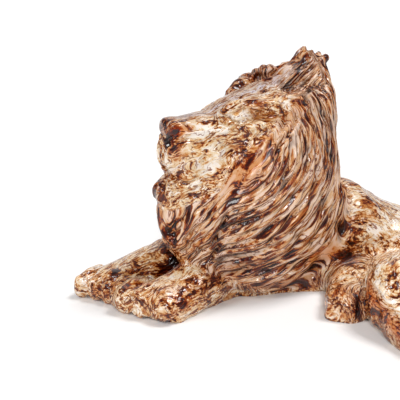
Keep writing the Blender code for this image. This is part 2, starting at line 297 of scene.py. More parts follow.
def settle(obj: bpy.types.Object) -> bpy.types.Object:
    """Apply an object's modifiers by giving it its evaluated mesh.

    Args:
        obj: the object to settle.

    Returns:
        The same object.
    """
    bpy.context.view_layer.update()
    depsgraph = bpy.context.evaluated_depsgraph_get()
    mesh = bpy.data.meshes.new_from_object(obj.evaluated_get(depsgraph))
    obj.modifiers.clear()
    old = obj.data
    obj.data = mesh
    bpy.data.meshes.remove(old)
    return obj


def melt(name: str, forms: list[Form], voxel: float, rubs: int) -> Form:
    """Melt overlapping forms into one skin on a grid and rub it down like clay.

    Args:
        name: name of the object used for the work, which is removed again.
        forms: closed forms that overlap.
        voxel: edge of the grid's cells in millimetres.
        rubs: how often each point moves halfway to its neighbours' middle.

    Returns:
        The skin.
    """
    offsets = np.cumsum([0] + [len(form.points) for form in forms[:-1]])
    points = np.vstack([form.points for form in forms])
    faces = np.vstack([form.faces + offset for form, offset in zip(forms, offsets)])
    obj = new_mesh(name, points, faces)
    grid = obj.modifiers.new("grid", "REMESH")
    grid.mode = "VOXEL"
    grid.voxel_size = voxel * MM
    rub = obj.modifiers.new("rub", "SMOOTH")
    rub.factor = 0.5
    rub.iterations = rubs
    settle(obj)
    points, faces, _ = read_mesh(obj.data)
    mesh = obj.data
    bpy.data.objects.remove(obj)
    bpy.data.meshes.remove(mesh)
    return Form(points, faces)


@dataclass(frozen=True)
class HeadFrame:
    """Measures across, forward and up on the head.

    Args:
        root: plan point that the head turns about.
        yaw: degrees that the face turns to the lion's left.
    """

    root: tuple[float, float] = (0.0, 105.0)
    yaw: float = 4.0

    def place(self, measures: Array | tuple[float, ...]) -> Array:
        """Turn rows of across, forward and height into design places.

        Args:
            measures: one row or many, more columns than three are carried along.

        Returns:
            The same rows with their first three columns as X, Y and Z.
        """
        rows = np.array(measures, dtype=float)
        ahead, left = direction(self.yaw)
        across, forward = rows[..., 0].copy(), rows[..., 1].copy()
        rows[..., 0] = self.root[0] + left[0] * across + ahead[0] * forward
        rows[..., 1] = self.root[1] + left[1] * across + ahead[1] * forward
        return rows

    def measure(self, points: Array) -> Array:
        """Turn design places into rows of across, forward and height.

        Args:
            points: places, one row each.

        Returns:
            Rows of across, forward and height.
        """
        ahead, left = direction(self.yaw)
        plan = points[:, :2] - np.array(self.root)
        return np.stack((plan @ left[:2], plan @ ahead[:2], points[:, 2]), axis=1)


@dataclass
class Trunk:
    """Trunk and tail: upright over the forelegs, sinking and curling left towards the rump.

    Args:
        back_height: top of the withers above the ground.
        half_width: half width behind the forelegs.
        tail_radius: half thickness of the tail.
        stations: rows of x, y, shares of the back height and the half width, and the depth
            to which the section reaches below the ground.
        tail: rows of x, y and half width along the tail.
    """

    back_height: float = 104.0
    half_width: float = 53.0
    tail_radius: float = 9.0
    stations: tuple[tuple[float, ...], ...] = (
        (0, 40, 0.92, 0.68, 36),
        (0, 80, 0.98, 0.79, 42),
        (0, 130, 0.99, 1.06, 43),
        (0, 168, 0.95, 1.08, 39),
        (6, 200, 0.72, 1.06, 19),
        (22, 234, 0.58, 1.02, 12),
        (44, 270, 0.60, 0.98, 14),
        (68, 302, 0.54, 0.75, 12),
    )
    tail: tuple[tuple[float, ...], ...] = (
        (86, 312, 10), (72, 334, 10), (38, 328, 9), (10, 300, 9),
        (-20, 268, 8), (-42, 236, 8), (-57, 206, 11), (-60, 188, 9),
    )

    def forms(self) -> list[Form]:
        """Build the trunk and the tail laid round its right flank.

        Returns:
            Both closed forms.
        """
        rows = []
        for x, y, height_share, width_share, buried in self.stations:
            top = height_share * self.back_height
            width = width_share * self.half_width
            rows.append((x, y, (top - buried) / 2, width, (top + buried) / 2, 2.4))
        tail = [(x, y, self.tail_radius, thick, thick, 2.0) for x, y, thick in self.tail]
        return [loft(rows), loft(tail)]


@dataclass
class Mane:
    """The mane's mass: a column that leans back to the crest, a chest and two shoulders.

    Args:
        head: the head's measures.
        half_width: half width at the level of the jaw.
        crest_height: highest lock above the ground.
        crest_locks: tips that stand up along the top.
        column: rows of x, y, z, share of the half width, and half depth.
    """

    head: HeadFrame
    half_width: float = 68.0
    crest_height: float = 241.0
    crest_locks: int = 7
    column: tuple[tuple[float, ...], ...] = (
        (2, 84, 6, 0.42, 60),
        (3, 80, 30, 0.68, 74),
        (4, 76, 60, 0.90, 81),
        (4, 74, 90, 0.97, 81),
        (4, 75, 118, 0.98, 75),
        (4, 84, 145, 0.96, 64),
        (2, 97, 172, 0.88, 47),
        (0, 113, 198, 0.72, 28),
        (-1, 121, 218, 0.44, 16),
        (-1, 125, 231, 0.21, 9.5),
    )

    def masses(self) -> list[Form]:
        """Build the column, the chest and the shoulders.

        Returns:
            Their closed forms.
        """
        upright = (0.0, 1.0, 0.0)
        column = [(x, y, z, share * self.half_width, deep, 2.3) for x, y, z, share, deep in self.column]
        chest = (
            (4, 36, 28, 30, 42, 2.2),
            (4, 32, 55, 42, 54, 2.2),
            (5, 28, 85, 45, 58, 2.2),
            (5, 26, 112, 44, 52, 2.2),
            (4, 36, 140, 42, 44, 2.2),
        )
        shoulders = [ball((30, 62, 40), (26, 62, 40)), ball((-34, 50, 42), (26, 60, 42))]
        return [loft(column, upright), loft(chest, upright)] + shoulders

    def details(self) -> list[Form]:
        """Build the ruff round the face, its tufts, the ears, the far roll and the crest's locks.

        Returns:
            Their closed forms.
        """
        forms = []
        for side, lift in ((1, 0), (-1, 3)):
            mirror = np.array((side, 1, 1, 1, 1, 1))
            ridge = np.array([(across, forward, height, thick, thick, 2.0)
                              for across, forward, height, thick in (
                                  (34, 58, 192 + lift, 6),
                                  (41, 42, 199 + lift, 8),
                                  (45, 22, 203 + lift, 10),
                                  (49, 8, 186 + lift, 9),
                                  (52, 22, 160, 8),
                                  (51, 42, 138, 8),
                                  (42, 66, 120, 7),
                                  (33, 86, 106, 6),
                              )])
            forms.append(loft(self.head.place(ridge * mirror)))
            for across, forward, height, radius in (
                (37, 40, 201, 9), (41, 16, 207, 10), (28, -4, 213, 11),
            ):
                place = self.head.place((side * across, forward, height + lift))
                forms.append(ball(place, (radius, radius, radius * 0.9)))
            ear = self.head.place((side * 47, 30, 194))
            forms.append(ball(ear, (8, 17, 12), yaw=self.head.yaw))
        roll = [(across, forward, height, thick, thick, 2.0) for across, forward, height, thick in (
            (-43, 34, 207, 6), (-41, 22, 211, 8), (-34, 13, 215, 8), (-27, 2, 214, 8),
            (-21, -8, 219, 8), (-14, -17, 227, 7))]
        forms.append(loft(self.head.place(roll)))
        return forms + self.crest()

    def crest(self) -> list[Form]:
        """Build the locks that stand up along the top, the far ones further forward.

        Returns:
            One closed form for each lock.
        """
        forms = []
        for step in range(self.crest_locks):
            share = step / (self.crest_locks - 1)
            across = 12 - 24 * share
            height = self.crest_height - 7 + 6 * share - 3 * (step % 2)
            rows = self.head.place((
                (across * 1.3, 24 - 10 * share, 213, 7, 6, 2.0),
                (across * 1.1, -2 - 8 * (1 - share), 226, 6, 6, 2.0),
                (across, -26 + 11 * share, height, 3, 4, 2.0),
            ))
            forms.append(loft(rows, cap=1.0))
        return forms


@dataclass
class Head:
    """Skull, muzzle, jaw, cheek and beard, with the brow, cheekbone and eye of each side.

    Args:
        head: the head's measures.
        right_brow_shift: how far forward and up the right brow is from the left one's mirror image.
    """

    head: HeadFrame
    right_brow_shift: tuple[float, float] = (-10.0, -14.0)

    def station(self, forward: float, low: float, high: float, half: float, square: float) -> Array:
        """Return a section's row on the head's middle, from its lowest and highest point."""
        middle = (low + high) / 2
        return self.head.place((0, forward, middle, half, (high - low) / 2, square))

    def masses(self) -> list[Form]:
        """Build the wedge of skull and muzzle, the jaw, the cheeks and the beard.

        Returns:
            Their closed forms.
        """
        skull = [self.station(*row) for row in (
            (141, 136, 184, 18, 2.8),
            (128, 131, 186, 23, 3.0),
            (108, 130, 185, 27, 3.0),
            (94, 129, 187, 31, 2.6),
            (82, 128, 195, 36, 2.4),
            (62, 124, 204, 43, 2.3),
            (36, 118, 212, 48, 2.3),
            (8, 115, 219, 51, 2.3),
        )]
        jaw = [self.station(*row) for row in (
            (150, 100, 126, 13, 2.4),
            (133, 96, 132, 21, 2.4),
            (100, 90, 134, 31, 2.4),
            (62, 86, 140, 46, 2.4),
        )]
        cheek = [self.station(*row) for row in (
            (134, 112, 152, 20, 2.3),
            (104, 108, 156, 29, 2.3),
            (70, 104, 160, 43, 2.3),
            (44, 104, 160, 50, 2.3),
        )]
        beard = self.head.place((
            (2, 112, 122, 21, 40, 2.3),
            (2, 111, 100, 24, 43, 2.3),
            (2, 107, 78, 26, 44, 2.3),
            (2, 96, 58, 28, 42, 2.3),
        ))
        return [loft(skull), loft(jaw), loft(cheek), loft(beard, (0.0, 1.0, 0.0))]

    def details(self) -> list[Form]:
        """Build the nose, and each side's brow, cheekbone and eye.

        Returns:
            Their closed forms.
        """
        nose = self.head.place((
            (0, 143, 178, 15, 8.5, 2.6),
            (0, 130, 179, 17, 8, 2.6),
            (0, 112, 180, 20, 8, 2.6),
            (0, 98, 182, 22, 7, 2.6),
        ))
        forms = [loft(nose, cap=0.7)]
        for side, wide, (push, lift) in ((1, 31, (0.0, 0.0)), (-1, 35, self.right_brow_shift)):
            brow = [(side * across, forward + push, height + lift, thick, thick, 2.0)
                    for across, forward, height, thick in (
                        (16, 101, 184, 3), (28, 86, 197, 5), (36, 64, 200, 5), (42, 48, 199, 4))]
            bone = [(side * across, forward, height + lift * share, 5, 5, 2.0)
                    for across, forward, height, share in (
                        (15, 136, 173, 0.0), (21, 112, 175, 0.2), (31, 86, 179, 0.6), (40, 64, 181, 0.8),
                        (45, 48, 177, 0.8))]
            eye = self.head.place((side * wide, 76 + push, 190 + lift * 0.85))
            forms.append(loft(self.head.place(brow)))
            forms.append(loft(self.head.place(bone)))
            forms.append(ball(eye, (6, 13, 6), yaw=self.head.yaw))
        return forms


@dataclass
class Legs:
    """Forelegs, hind legs, groin and the toes of three paws.

    Args:
        paw_height: height of a forepaw over its toes.
        toe_length: length of a toe.
        splay: degrees that the forelegs swing to the lion's left.
    """

    paw_height: float = 31.0
    toe_length: float = 40.0
    splay: float = 36.0

    def masses(self) -> list[Form]:
        """Build the limbs.

        Returns:
            The forelegs, the right hind foot, the haunch, the groin, the left thigh and the left shin.
        """
        low, half = self.paw_height * 0.29, self.paw_height * 0.71
        near = loft((
            (4, 84, 16, 16, 34, 2.3),
            (6, 60, 20, 20, 40, 2.3),
            (13, 25, 20, 22, 32, 2.3),
            (23, -8, 17, 25, 26, 2.3),
            (34, -38, 13, 29, 21, 2.5),
            (40, -58, low, 32, half, 2.9),
        ))
        far = loft((
            (-26, 96, 12, 16, 30, 2.3),
            (-34, 62, 18, 22, 40, 2.3),
            (-36, 36, 20, 26, 42, 2.3),
            (-34, 0, 20, 26, 34, 2.3),
            (-31, -42, 14, 26, 27, 2.3),
            (-25, -74, 9, 26, 23, 2.5),
            (-18, -92, low, 27, half, 2.9),
        ))
        foot = loft((
            (44, 148, 8, 22, 24, 2.6),
            (80, 126, 8, 20, 23, 2.8),
            (119, 102, 8, 19, 21, 3.2),
        ))
        haunch = ball((76, 246, 22), (42, 50, 37), yaw=-38)
        groin = ball((78, 182, 6), (52, 46, 34))
        thigh = loft((
            (84, 236, 22, 40, 37, 2.2),
            (103, 208, 24, 34, 38, 2.2),
            (122, 176, 26, 27, 38, 2.3),
            (141, 142, 28, 19, 38, 2.3),
            (145, 130, 27, 16, 36, 2.3),
        ))
        shin = loft((
            (136, 134, 30, 18, 36, 2.3),
            (152, 130, 28, 18, 36, 2.3),
            (170, 130, 20, 18, 24, 2.4),
            (190, 132, 12, 20, 24, 2.5),
            (214, 136, 8, 21, 22, 2.6),
        ))
        return [near, far, foot, haunch, groin, thigh, shin]

    def toes(self) -> list[Form]:
        """Build the toes, side by side along each paw's front edge, and the pad that joins them.

        Each paw has the plan corner left of its toes, its heading, the toes' widths and its height.

        Returns:
            Their closed forms.
        """
        forms = []
        for corner, yaw, widths, tall in (
            ((21, -103), self.splay, (22, 15, 31), self.paw_height),
            ((-30, -126), self.splay, (14, 19, 11, 13), self.paw_height * 0.88),
            ((230, 117), 94, (11, 10, 10, 9), self.paw_height * 0.95),
        ):
            ahead, left = direction(yaw)
            along = 0.0
            for width in widths:
                tip = np.array((*corner, 0.0)) + left * (along + width / 2)
                rows = [(*(tip - ahead * back + (0, 0, (low + high) / 2)), width * 0.53,
                         (high - low) / 2, 2.5)
                        for back, low, high in (
                            (self.toe_length, 0, tall * 0.88),
                            (self.toe_length * 0.5, -1, tall * 0.97),
                            (min(width, tall) * 0.32, 0, tall * 0.88))]
                forms.append(loft(rows, cap=0.64))
                along += width
            low, high = tall * 0.06, tall * 0.84
            middle = np.array((*corner, (low + high) / 2)) - ahead * self.toe_length * 0.5
            row = [(*(middle + left * reach), self.toe_length * 0.44, (high - low) / 2, 3.2)
                   for reach in (5, along * 0.5, along - 6)]
            forms.append(loft(row, cap=0.4))
        return forms


@dataclass
class Comb:
    """The flow of the mane's locks, seen from the side, and their relief.

    Args:
        row_width: width of the band between two flow lines, as the locks count it.
        blur: how far neighbouring flow lines blend.
        cell: spacing of the grid on which the flow is worked out.
        lines: places in Y and Z along each flow line, from the brow and the crest down.
        crest_rise: slope in degrees of the locks that run up over the crown.
        crest_root: Y and Z of a point on that slope.
        crest_across: distance across the flow at that point.
        middle: X of the body's middle.
        fall: how much across falls for each millimetre from the middle.
        low: least Y and Z of the grid.
        high: greatest Y and Z of the grid.
        batch: how many grid points are worked out at a time.
    """

    row_width: float = 16.0
    blur: float = 6.0
    cell: float = 1.5
    lines: tuple[tuple[tuple[float, float], ...], ...] = (
        ((-36, 158), (-42, 132), (-48, 110), (-54, 86), (-59, 62), (-62, 40)),
        ((-14, 158), (-20, 132), (-28, 110), (-36, 86), (-44, 62), (-50, 40)),
        ((8, 158), (2, 130), (-6, 108), (-15, 84), (-25, 62), (-34, 40)),
        ((47, 194), (55, 174), (30, 138), (6, 104), (-12, 72), (-28, 46)),
        ((59, 203), (69, 172), (51, 136), (18, 98), (-8, 67), (-26, 42)),
        ((74, 203), (79, 172), (63, 131), (30, 92), (0, 61), (-22, 37)),
        ((91, 208), (94, 168), (78, 125), (44, 86), (10, 55), (-16, 32)),
        ((108, 216), (110, 165), (96, 118), (62, 78), (24, 46), (-12, 27)),
        ((122, 220), (125, 162), (116, 110), (84, 70), (40, 38), (-6, 20)),
        ((135, 222), (138, 158), (132, 104), (108, 62), (64, 30), (8, 10)),
        ((148, 218), (150, 150), (148, 96), (132, 52), (96, 20), (50, 0)),
    )
    crest_rise: float = 42.0
    crest_root: tuple[float, float] = (60.0, 205.0)
    crest_across: float = 48.0
    middle: float = 4.0
    fall: float = 0.75
    low: tuple[float, float] = (-90.0, -10.0)
    high: tuple[float, float] = (180.0, 256.0)
    batch: int = 2000
    _grid: Array = field(init=False, repr=False)

    def __post_init__(self) -> None:
        """Work the flow out on a grid of Y and Z.

        The lines are filled in to a dense family.  At each grid point the rows and the lengths
        along the family are averaged with the weight exp(-d² / 2 blur²), d being the distance.
        The third value is how much closer than the row width the lines lie there.
        """
        lines = np.array(self.lines, dtype=float)
        dense = smooth_path(lines.reshape(len(lines), -1), 8)
        family = np.stack([smooth_path(line.reshape(-1, 2), 10) for line in dense])
        run = np.linalg.norm(np.diff(family, axis=1), axis=2).cumsum(axis=1)
        run = np.concatenate((np.zeros((len(family), 1)), run), axis=1)
        row = np.linspace(0, len(lines) - 1, len(family))[:, None] * np.ones_like(run)
        samples = family.reshape(-1, 2)
        values = np.stack((row.ravel() * self.row_width, run.ravel()), axis=1)
        y = np.arange(self.low[0], self.high[0] + self.cell, self.cell)
        z = np.arange(self.low[1], self.high[1] + self.cell, self.cell)
        flat = np.stack(np.meshgrid(y, z, indexing="ij"), axis=-1).reshape(-1, 2)
        out = np.empty((len(flat), 2))
        for start in range(0, len(flat), self.batch):
            part = flat[start:start + self.batch]
            far = ((part[:, None] - samples[None]) ** 2).sum(axis=2)
            weight = np.exp(-(far - far.min(axis=1, keepdims=True)) / (2 * self.blur**2))
            out[start:start + self.batch] = weight @ values / weight.sum(axis=1, keepdims=True)
        out = out.reshape(len(y), len(z), 2)
        slope = np.gradient(out[..., 0], self.cell)
        self._grid = np.concatenate((out, np.hypot(*slope)[..., None]), axis=2)

    def read(self, points: Array) -> Array:
        """Read the grid's three values at each point, with a bilinear blend.

        Args:
            points: places, one row each.

        Returns:
            Rows of across, along and crowding.
        """
        place = (points[:, 1:3] - np.array(self.low)) / self.cell
        place = np.clip(place, 0, np.array(self._grid.shape[:2]) - 1.001)
        cell = place.astype(int)
        y, z = cell[:, 0], cell[:, 1]
        a, b = (place - cell)[:, :1], (place - cell)[:, 1:]
        values = (1 - a) * (1 - b) * self._grid[y, z] + a * (1 - b) * self._grid[y + 1, z]
        return values + (1 - a) * b * self._grid[y, z + 1] + a * b * self._grid[y + 1, z + 1]

    def chart(self, points: Array) -> tuple[Array, Array, Array]:
        """Return how far each point lies across and along the flow, and how crowded it is.

        Across also falls with the distance from the body's middle, so that locks run down where
        the surface faces forwards or back, and wavers by 1.4 mm along a sine.

        Args:
            points: places, one row each.

        Returns:
            Distances across and along in millimetres, and the lines' crowding.
        """
        across, along, crowd = self.read(points).T
        across = across - np.abs(points[:, 0] - self.middle) * self.fall
        across = across + 1.4 * np.sin(points[:, 2] / 17 + points[:, 0] / 23)
        return across, along, np.clip(crowd, 0.75, 5.0)

    def crest_chart(self, points: Array) -> tuple[Array, Array]:
        """Measure across and along locks that run up and back over the crown.

        Along is measured up the slope.  Across is square to it and grows by half the distance
        from the middle, so that the locks part to both sides.

        Args:
            points: places, one row each.

        Returns:
            Distances across and along in millimetres.
        """
        turn = math.radians(self.crest_rise)
        y, z = points[:, 1] - self.crest_root[0], points[:, 2] - self.crest_root[1]
        across = y * math.sin(turn) - z * math.cos(turn) + 0.5 * np.hypot(points[:, 0], 5.0)
        along = y * math.cos(turn) + z * math.sin(turn)
        return across + self.crest_across, along

    def on_crest(self, points: Array) -> Array:
        """Tell the crown from the rest of the mane.

        Args:
            points: places, one row each.

        Returns:
            1 over the crown, 0 below it, behind the nape and on the right ruff, and a step between.
        """
        floor = np.interp(points[:, 1], (30, 60, 90, 112), (196, 205, 211, 213))
        nape = fade(points[:, 1], 123, 118) * fade(points[:, 0], -34, -24)
        return fade(points[:, 2], floor - 1.5, floor + 1.5) * nape

    def locks(self, across: Array, along: Array, pitch: Array, length: float) -> Array:
        """Return the height and the tone of overlapping, tapering locks.

        Each lock is a lens: its section is 1 - (x / w)², and w tapers as the square root of a
        sine from root to tip.  Locks start at scattered places, and the highest one shows.

        Args:
            across: distances across the flow.
            along: distances along the flow.
            pitch: distance between two locks.
            length: length of a lock.

        Returns:
            Rows of the height, 0 to about 1.25, and of a tone from 0 to 1, its own for each lock.
        """
        column = np.floor(across / pitch)
        height, tone = np.zeros_like(across), np.full_like(across, 0.5)
        for step in (-1, 0, 1):
            cell = column + step
            for layer in (0, 1):
                tag = np.full_like(cell, layer)
                place = along / length + chance(cell, tag) + 0.5 * layer
                link = np.floor(place)
                t = place - link
                wander = 0.6 * (chance(cell, link, tag) - 0.5)
                centre = (cell + 0.5 + wander + 0.5 * (t - 0.5)) * pitch
                taper = np.sqrt(np.sin(math.pi * np.clip(t, 0.001, 0.999)))
                half = pitch * 0.62 * (0.2 + 0.8 * taper)
                ridge = 1.0 - ((across - centre) / half) ** 2
                rise = ridge * taper * (0.7 + 0.55 * chance(link, cell, tag + 3))
                over = rise > height
                height[over] = rise[over]
                tone[over] = chance(link, cell, tag + 5)[over]
        return np.stack((height, tone))

    def relief(self, points: Array, pitch: float, length: float) -> Array:
        """Return the locks' height and tone with their width kept even where the flow lines crowd.

        Two sizes of lock are blended, whose widths are powers of two of the pitch.

        Args:
            points: places on the skin.
            pitch: distance between two locks on the skin.
            length: length of a lock.

        Returns:
            Rows of the height, 0 to about 1.25, and of the tone, 0 to 1.
        """
        across, along, crowd = self.chart(points)
        level = np.log2(crowd)
        low = np.floor(level)
        share = fade(level - low, 0.35, 0.65)
        fine = self.locks(across, along, pitch * 2.0**low, length)
        broad = self.locks(across, along, pitch * 2.0 ** (low + 1), length)
        side = (1 - share) * fine + share * broad
        crest = self.locks(*self.crest_chart(points), np.full_like(across, pitch), length)
        over = self.on_crest(points)
        return (1 - over) * side + over * crest


@dataclass(frozen=True)
class Stroke:
    """One mark of the modelling tool on the skin, or one roll of clay laid on it.

    Args:
        path: places that the mark passes, in the head's measures or the design's.
        half_width: half width of the mark in millimetres.
        rise: height of the mark, below zero for a groove.
        sharp: whether the middle is an edge and not rounded.
        on_head: whether the path is in the head's measures.
        far: forward and upward shift of the same mark on the right side, or None for no such mark.
        push: direction of the mark, or None for square to the skin.
    """

    path: tuple[tuple[float, float, float], ...]
    half_width: float
    rise: float
    sharp: bool = False
    on_head: bool = True
    far: tuple[float, float] | None = (0.0, 0.0)
    push: tuple[float, float, float] | None = None

    def paths(self, head: HeadFrame) -> list[Array]:
        """Lay the path out in design places.

        Args:
            head: the head's measures.

        Returns:
            The path, and the right side's where it has one.
        """
        rows = smooth_path(np.array(self.path, dtype=float), 12)
        if not self.on_head:
            return [rows]
        if self.far is None:
            return [head.place(rows)]
        other = rows * np.array((-1, 1, 1)) + np.array((0, *self.far))
        return [head.place(rows), head.place(other)]

    def mark(self, points: Array, path: Array) -> tuple[NDArray[np.int64], Array]:
        """Work out how far the mark raises the skin's points.

        The path is first laid on the nearest points of the skin, up to 9 mm beyond the mark's
        width, and smoothed by averages of neighbours.  With q the distance to it over
        the half width, the mark is rise · (1 - q²)², or rise · (1 - q)^1.4 where it is sharp; it
        fades out over the first and last seventh of the path.

        Args:
            points: places on the skin.
            path: places along the mark.

        Returns:
            Numbers of the points touched, and their rise in millimetres.
        """
        reach = self.half_width + 9.0
        low, high = path.min(axis=0) - reach, path.max(axis=0) + reach
        near = np.flatnonzero(((points > low) & (points < high)).all(axis=1))
        if not len(near):
            return near, np.zeros(0)
        part = points[near]
        gap = ((part[None] - path[:, None]) ** 2).sum(axis=2)
        laid = part[gap.argmin(axis=1)]
        for _ in range(6):
            laid[1:-1] = (laid[:-2] + 2 * laid[1:-1] + laid[2:]) / 4
        laid = smooth_path(laid, 3)
        best = np.full(len(part), np.inf)
        share = np.zeros(len(part))
        for number, place in enumerate(laid):
            gap = ((part - place) ** 2).sum(axis=1)
            closer = gap < best
            best[closer] = gap[closer]
            share[closer] = number / (len(laid) - 1)
        q = np.clip(np.sqrt(best) / self.half_width, 0, 1)
        bell = (1 - q) ** 1.4 if self.sharp else (1 - q**2) ** 2
        ends = np.minimum(fade(share, -0.03, 0.14), fade(share, 1.03, 0.86))
        return near, self.rise * bell * ends


def mane_mask(head: HeadFrame, points: Array, inset: float = 0.0) -> Array:
    """Return how much each point belongs to the mane: not the face, the trunk or the limbs.

    Args:
        head: the head's measures.
        points: places, one row each.
        inset: how far the mask keeps from the cheek, in millimetres.

    Returns:
        0 off the mane, 1 on it and a smooth step between.
    """
    # How far forward of the head's root the mane reaches at each height, how far back it reaches,
    # and how high the legs reach at each place along the lion
    forward, height = head.measure(points)[:, 1], points[:, 2]
    face_edge = np.interp(
        height, (84, 96, 104, 112, 143, 165, 190, 203, 211, 217, 228),
        (185, 160, 134, 114, 88, 66, 46, 30, 34, 44, 56))
    back_edge = np.interp(height, (10, 50, 100, 130), (104, 134, 158, 300))
    face_edge = face_edge - inset * fade(height, 100, 125) * fade(height, 206, 196)
    face = fade(forward, face_edge + 6, face_edge - 6)
    trunk = fade(points[:, 1], back_edge + 5, back_edge - 5)
    leg_top = np.interp(points[:, 1], (-40, -10, 30, 66), (58, 36, 20, 2))
    legs = fade(height, leg_top - 6, leg_top + 6)
    beside = fade(np.abs(points[:, 0] - 4.0), 82, 75)
    return face * trunk * legs * beside


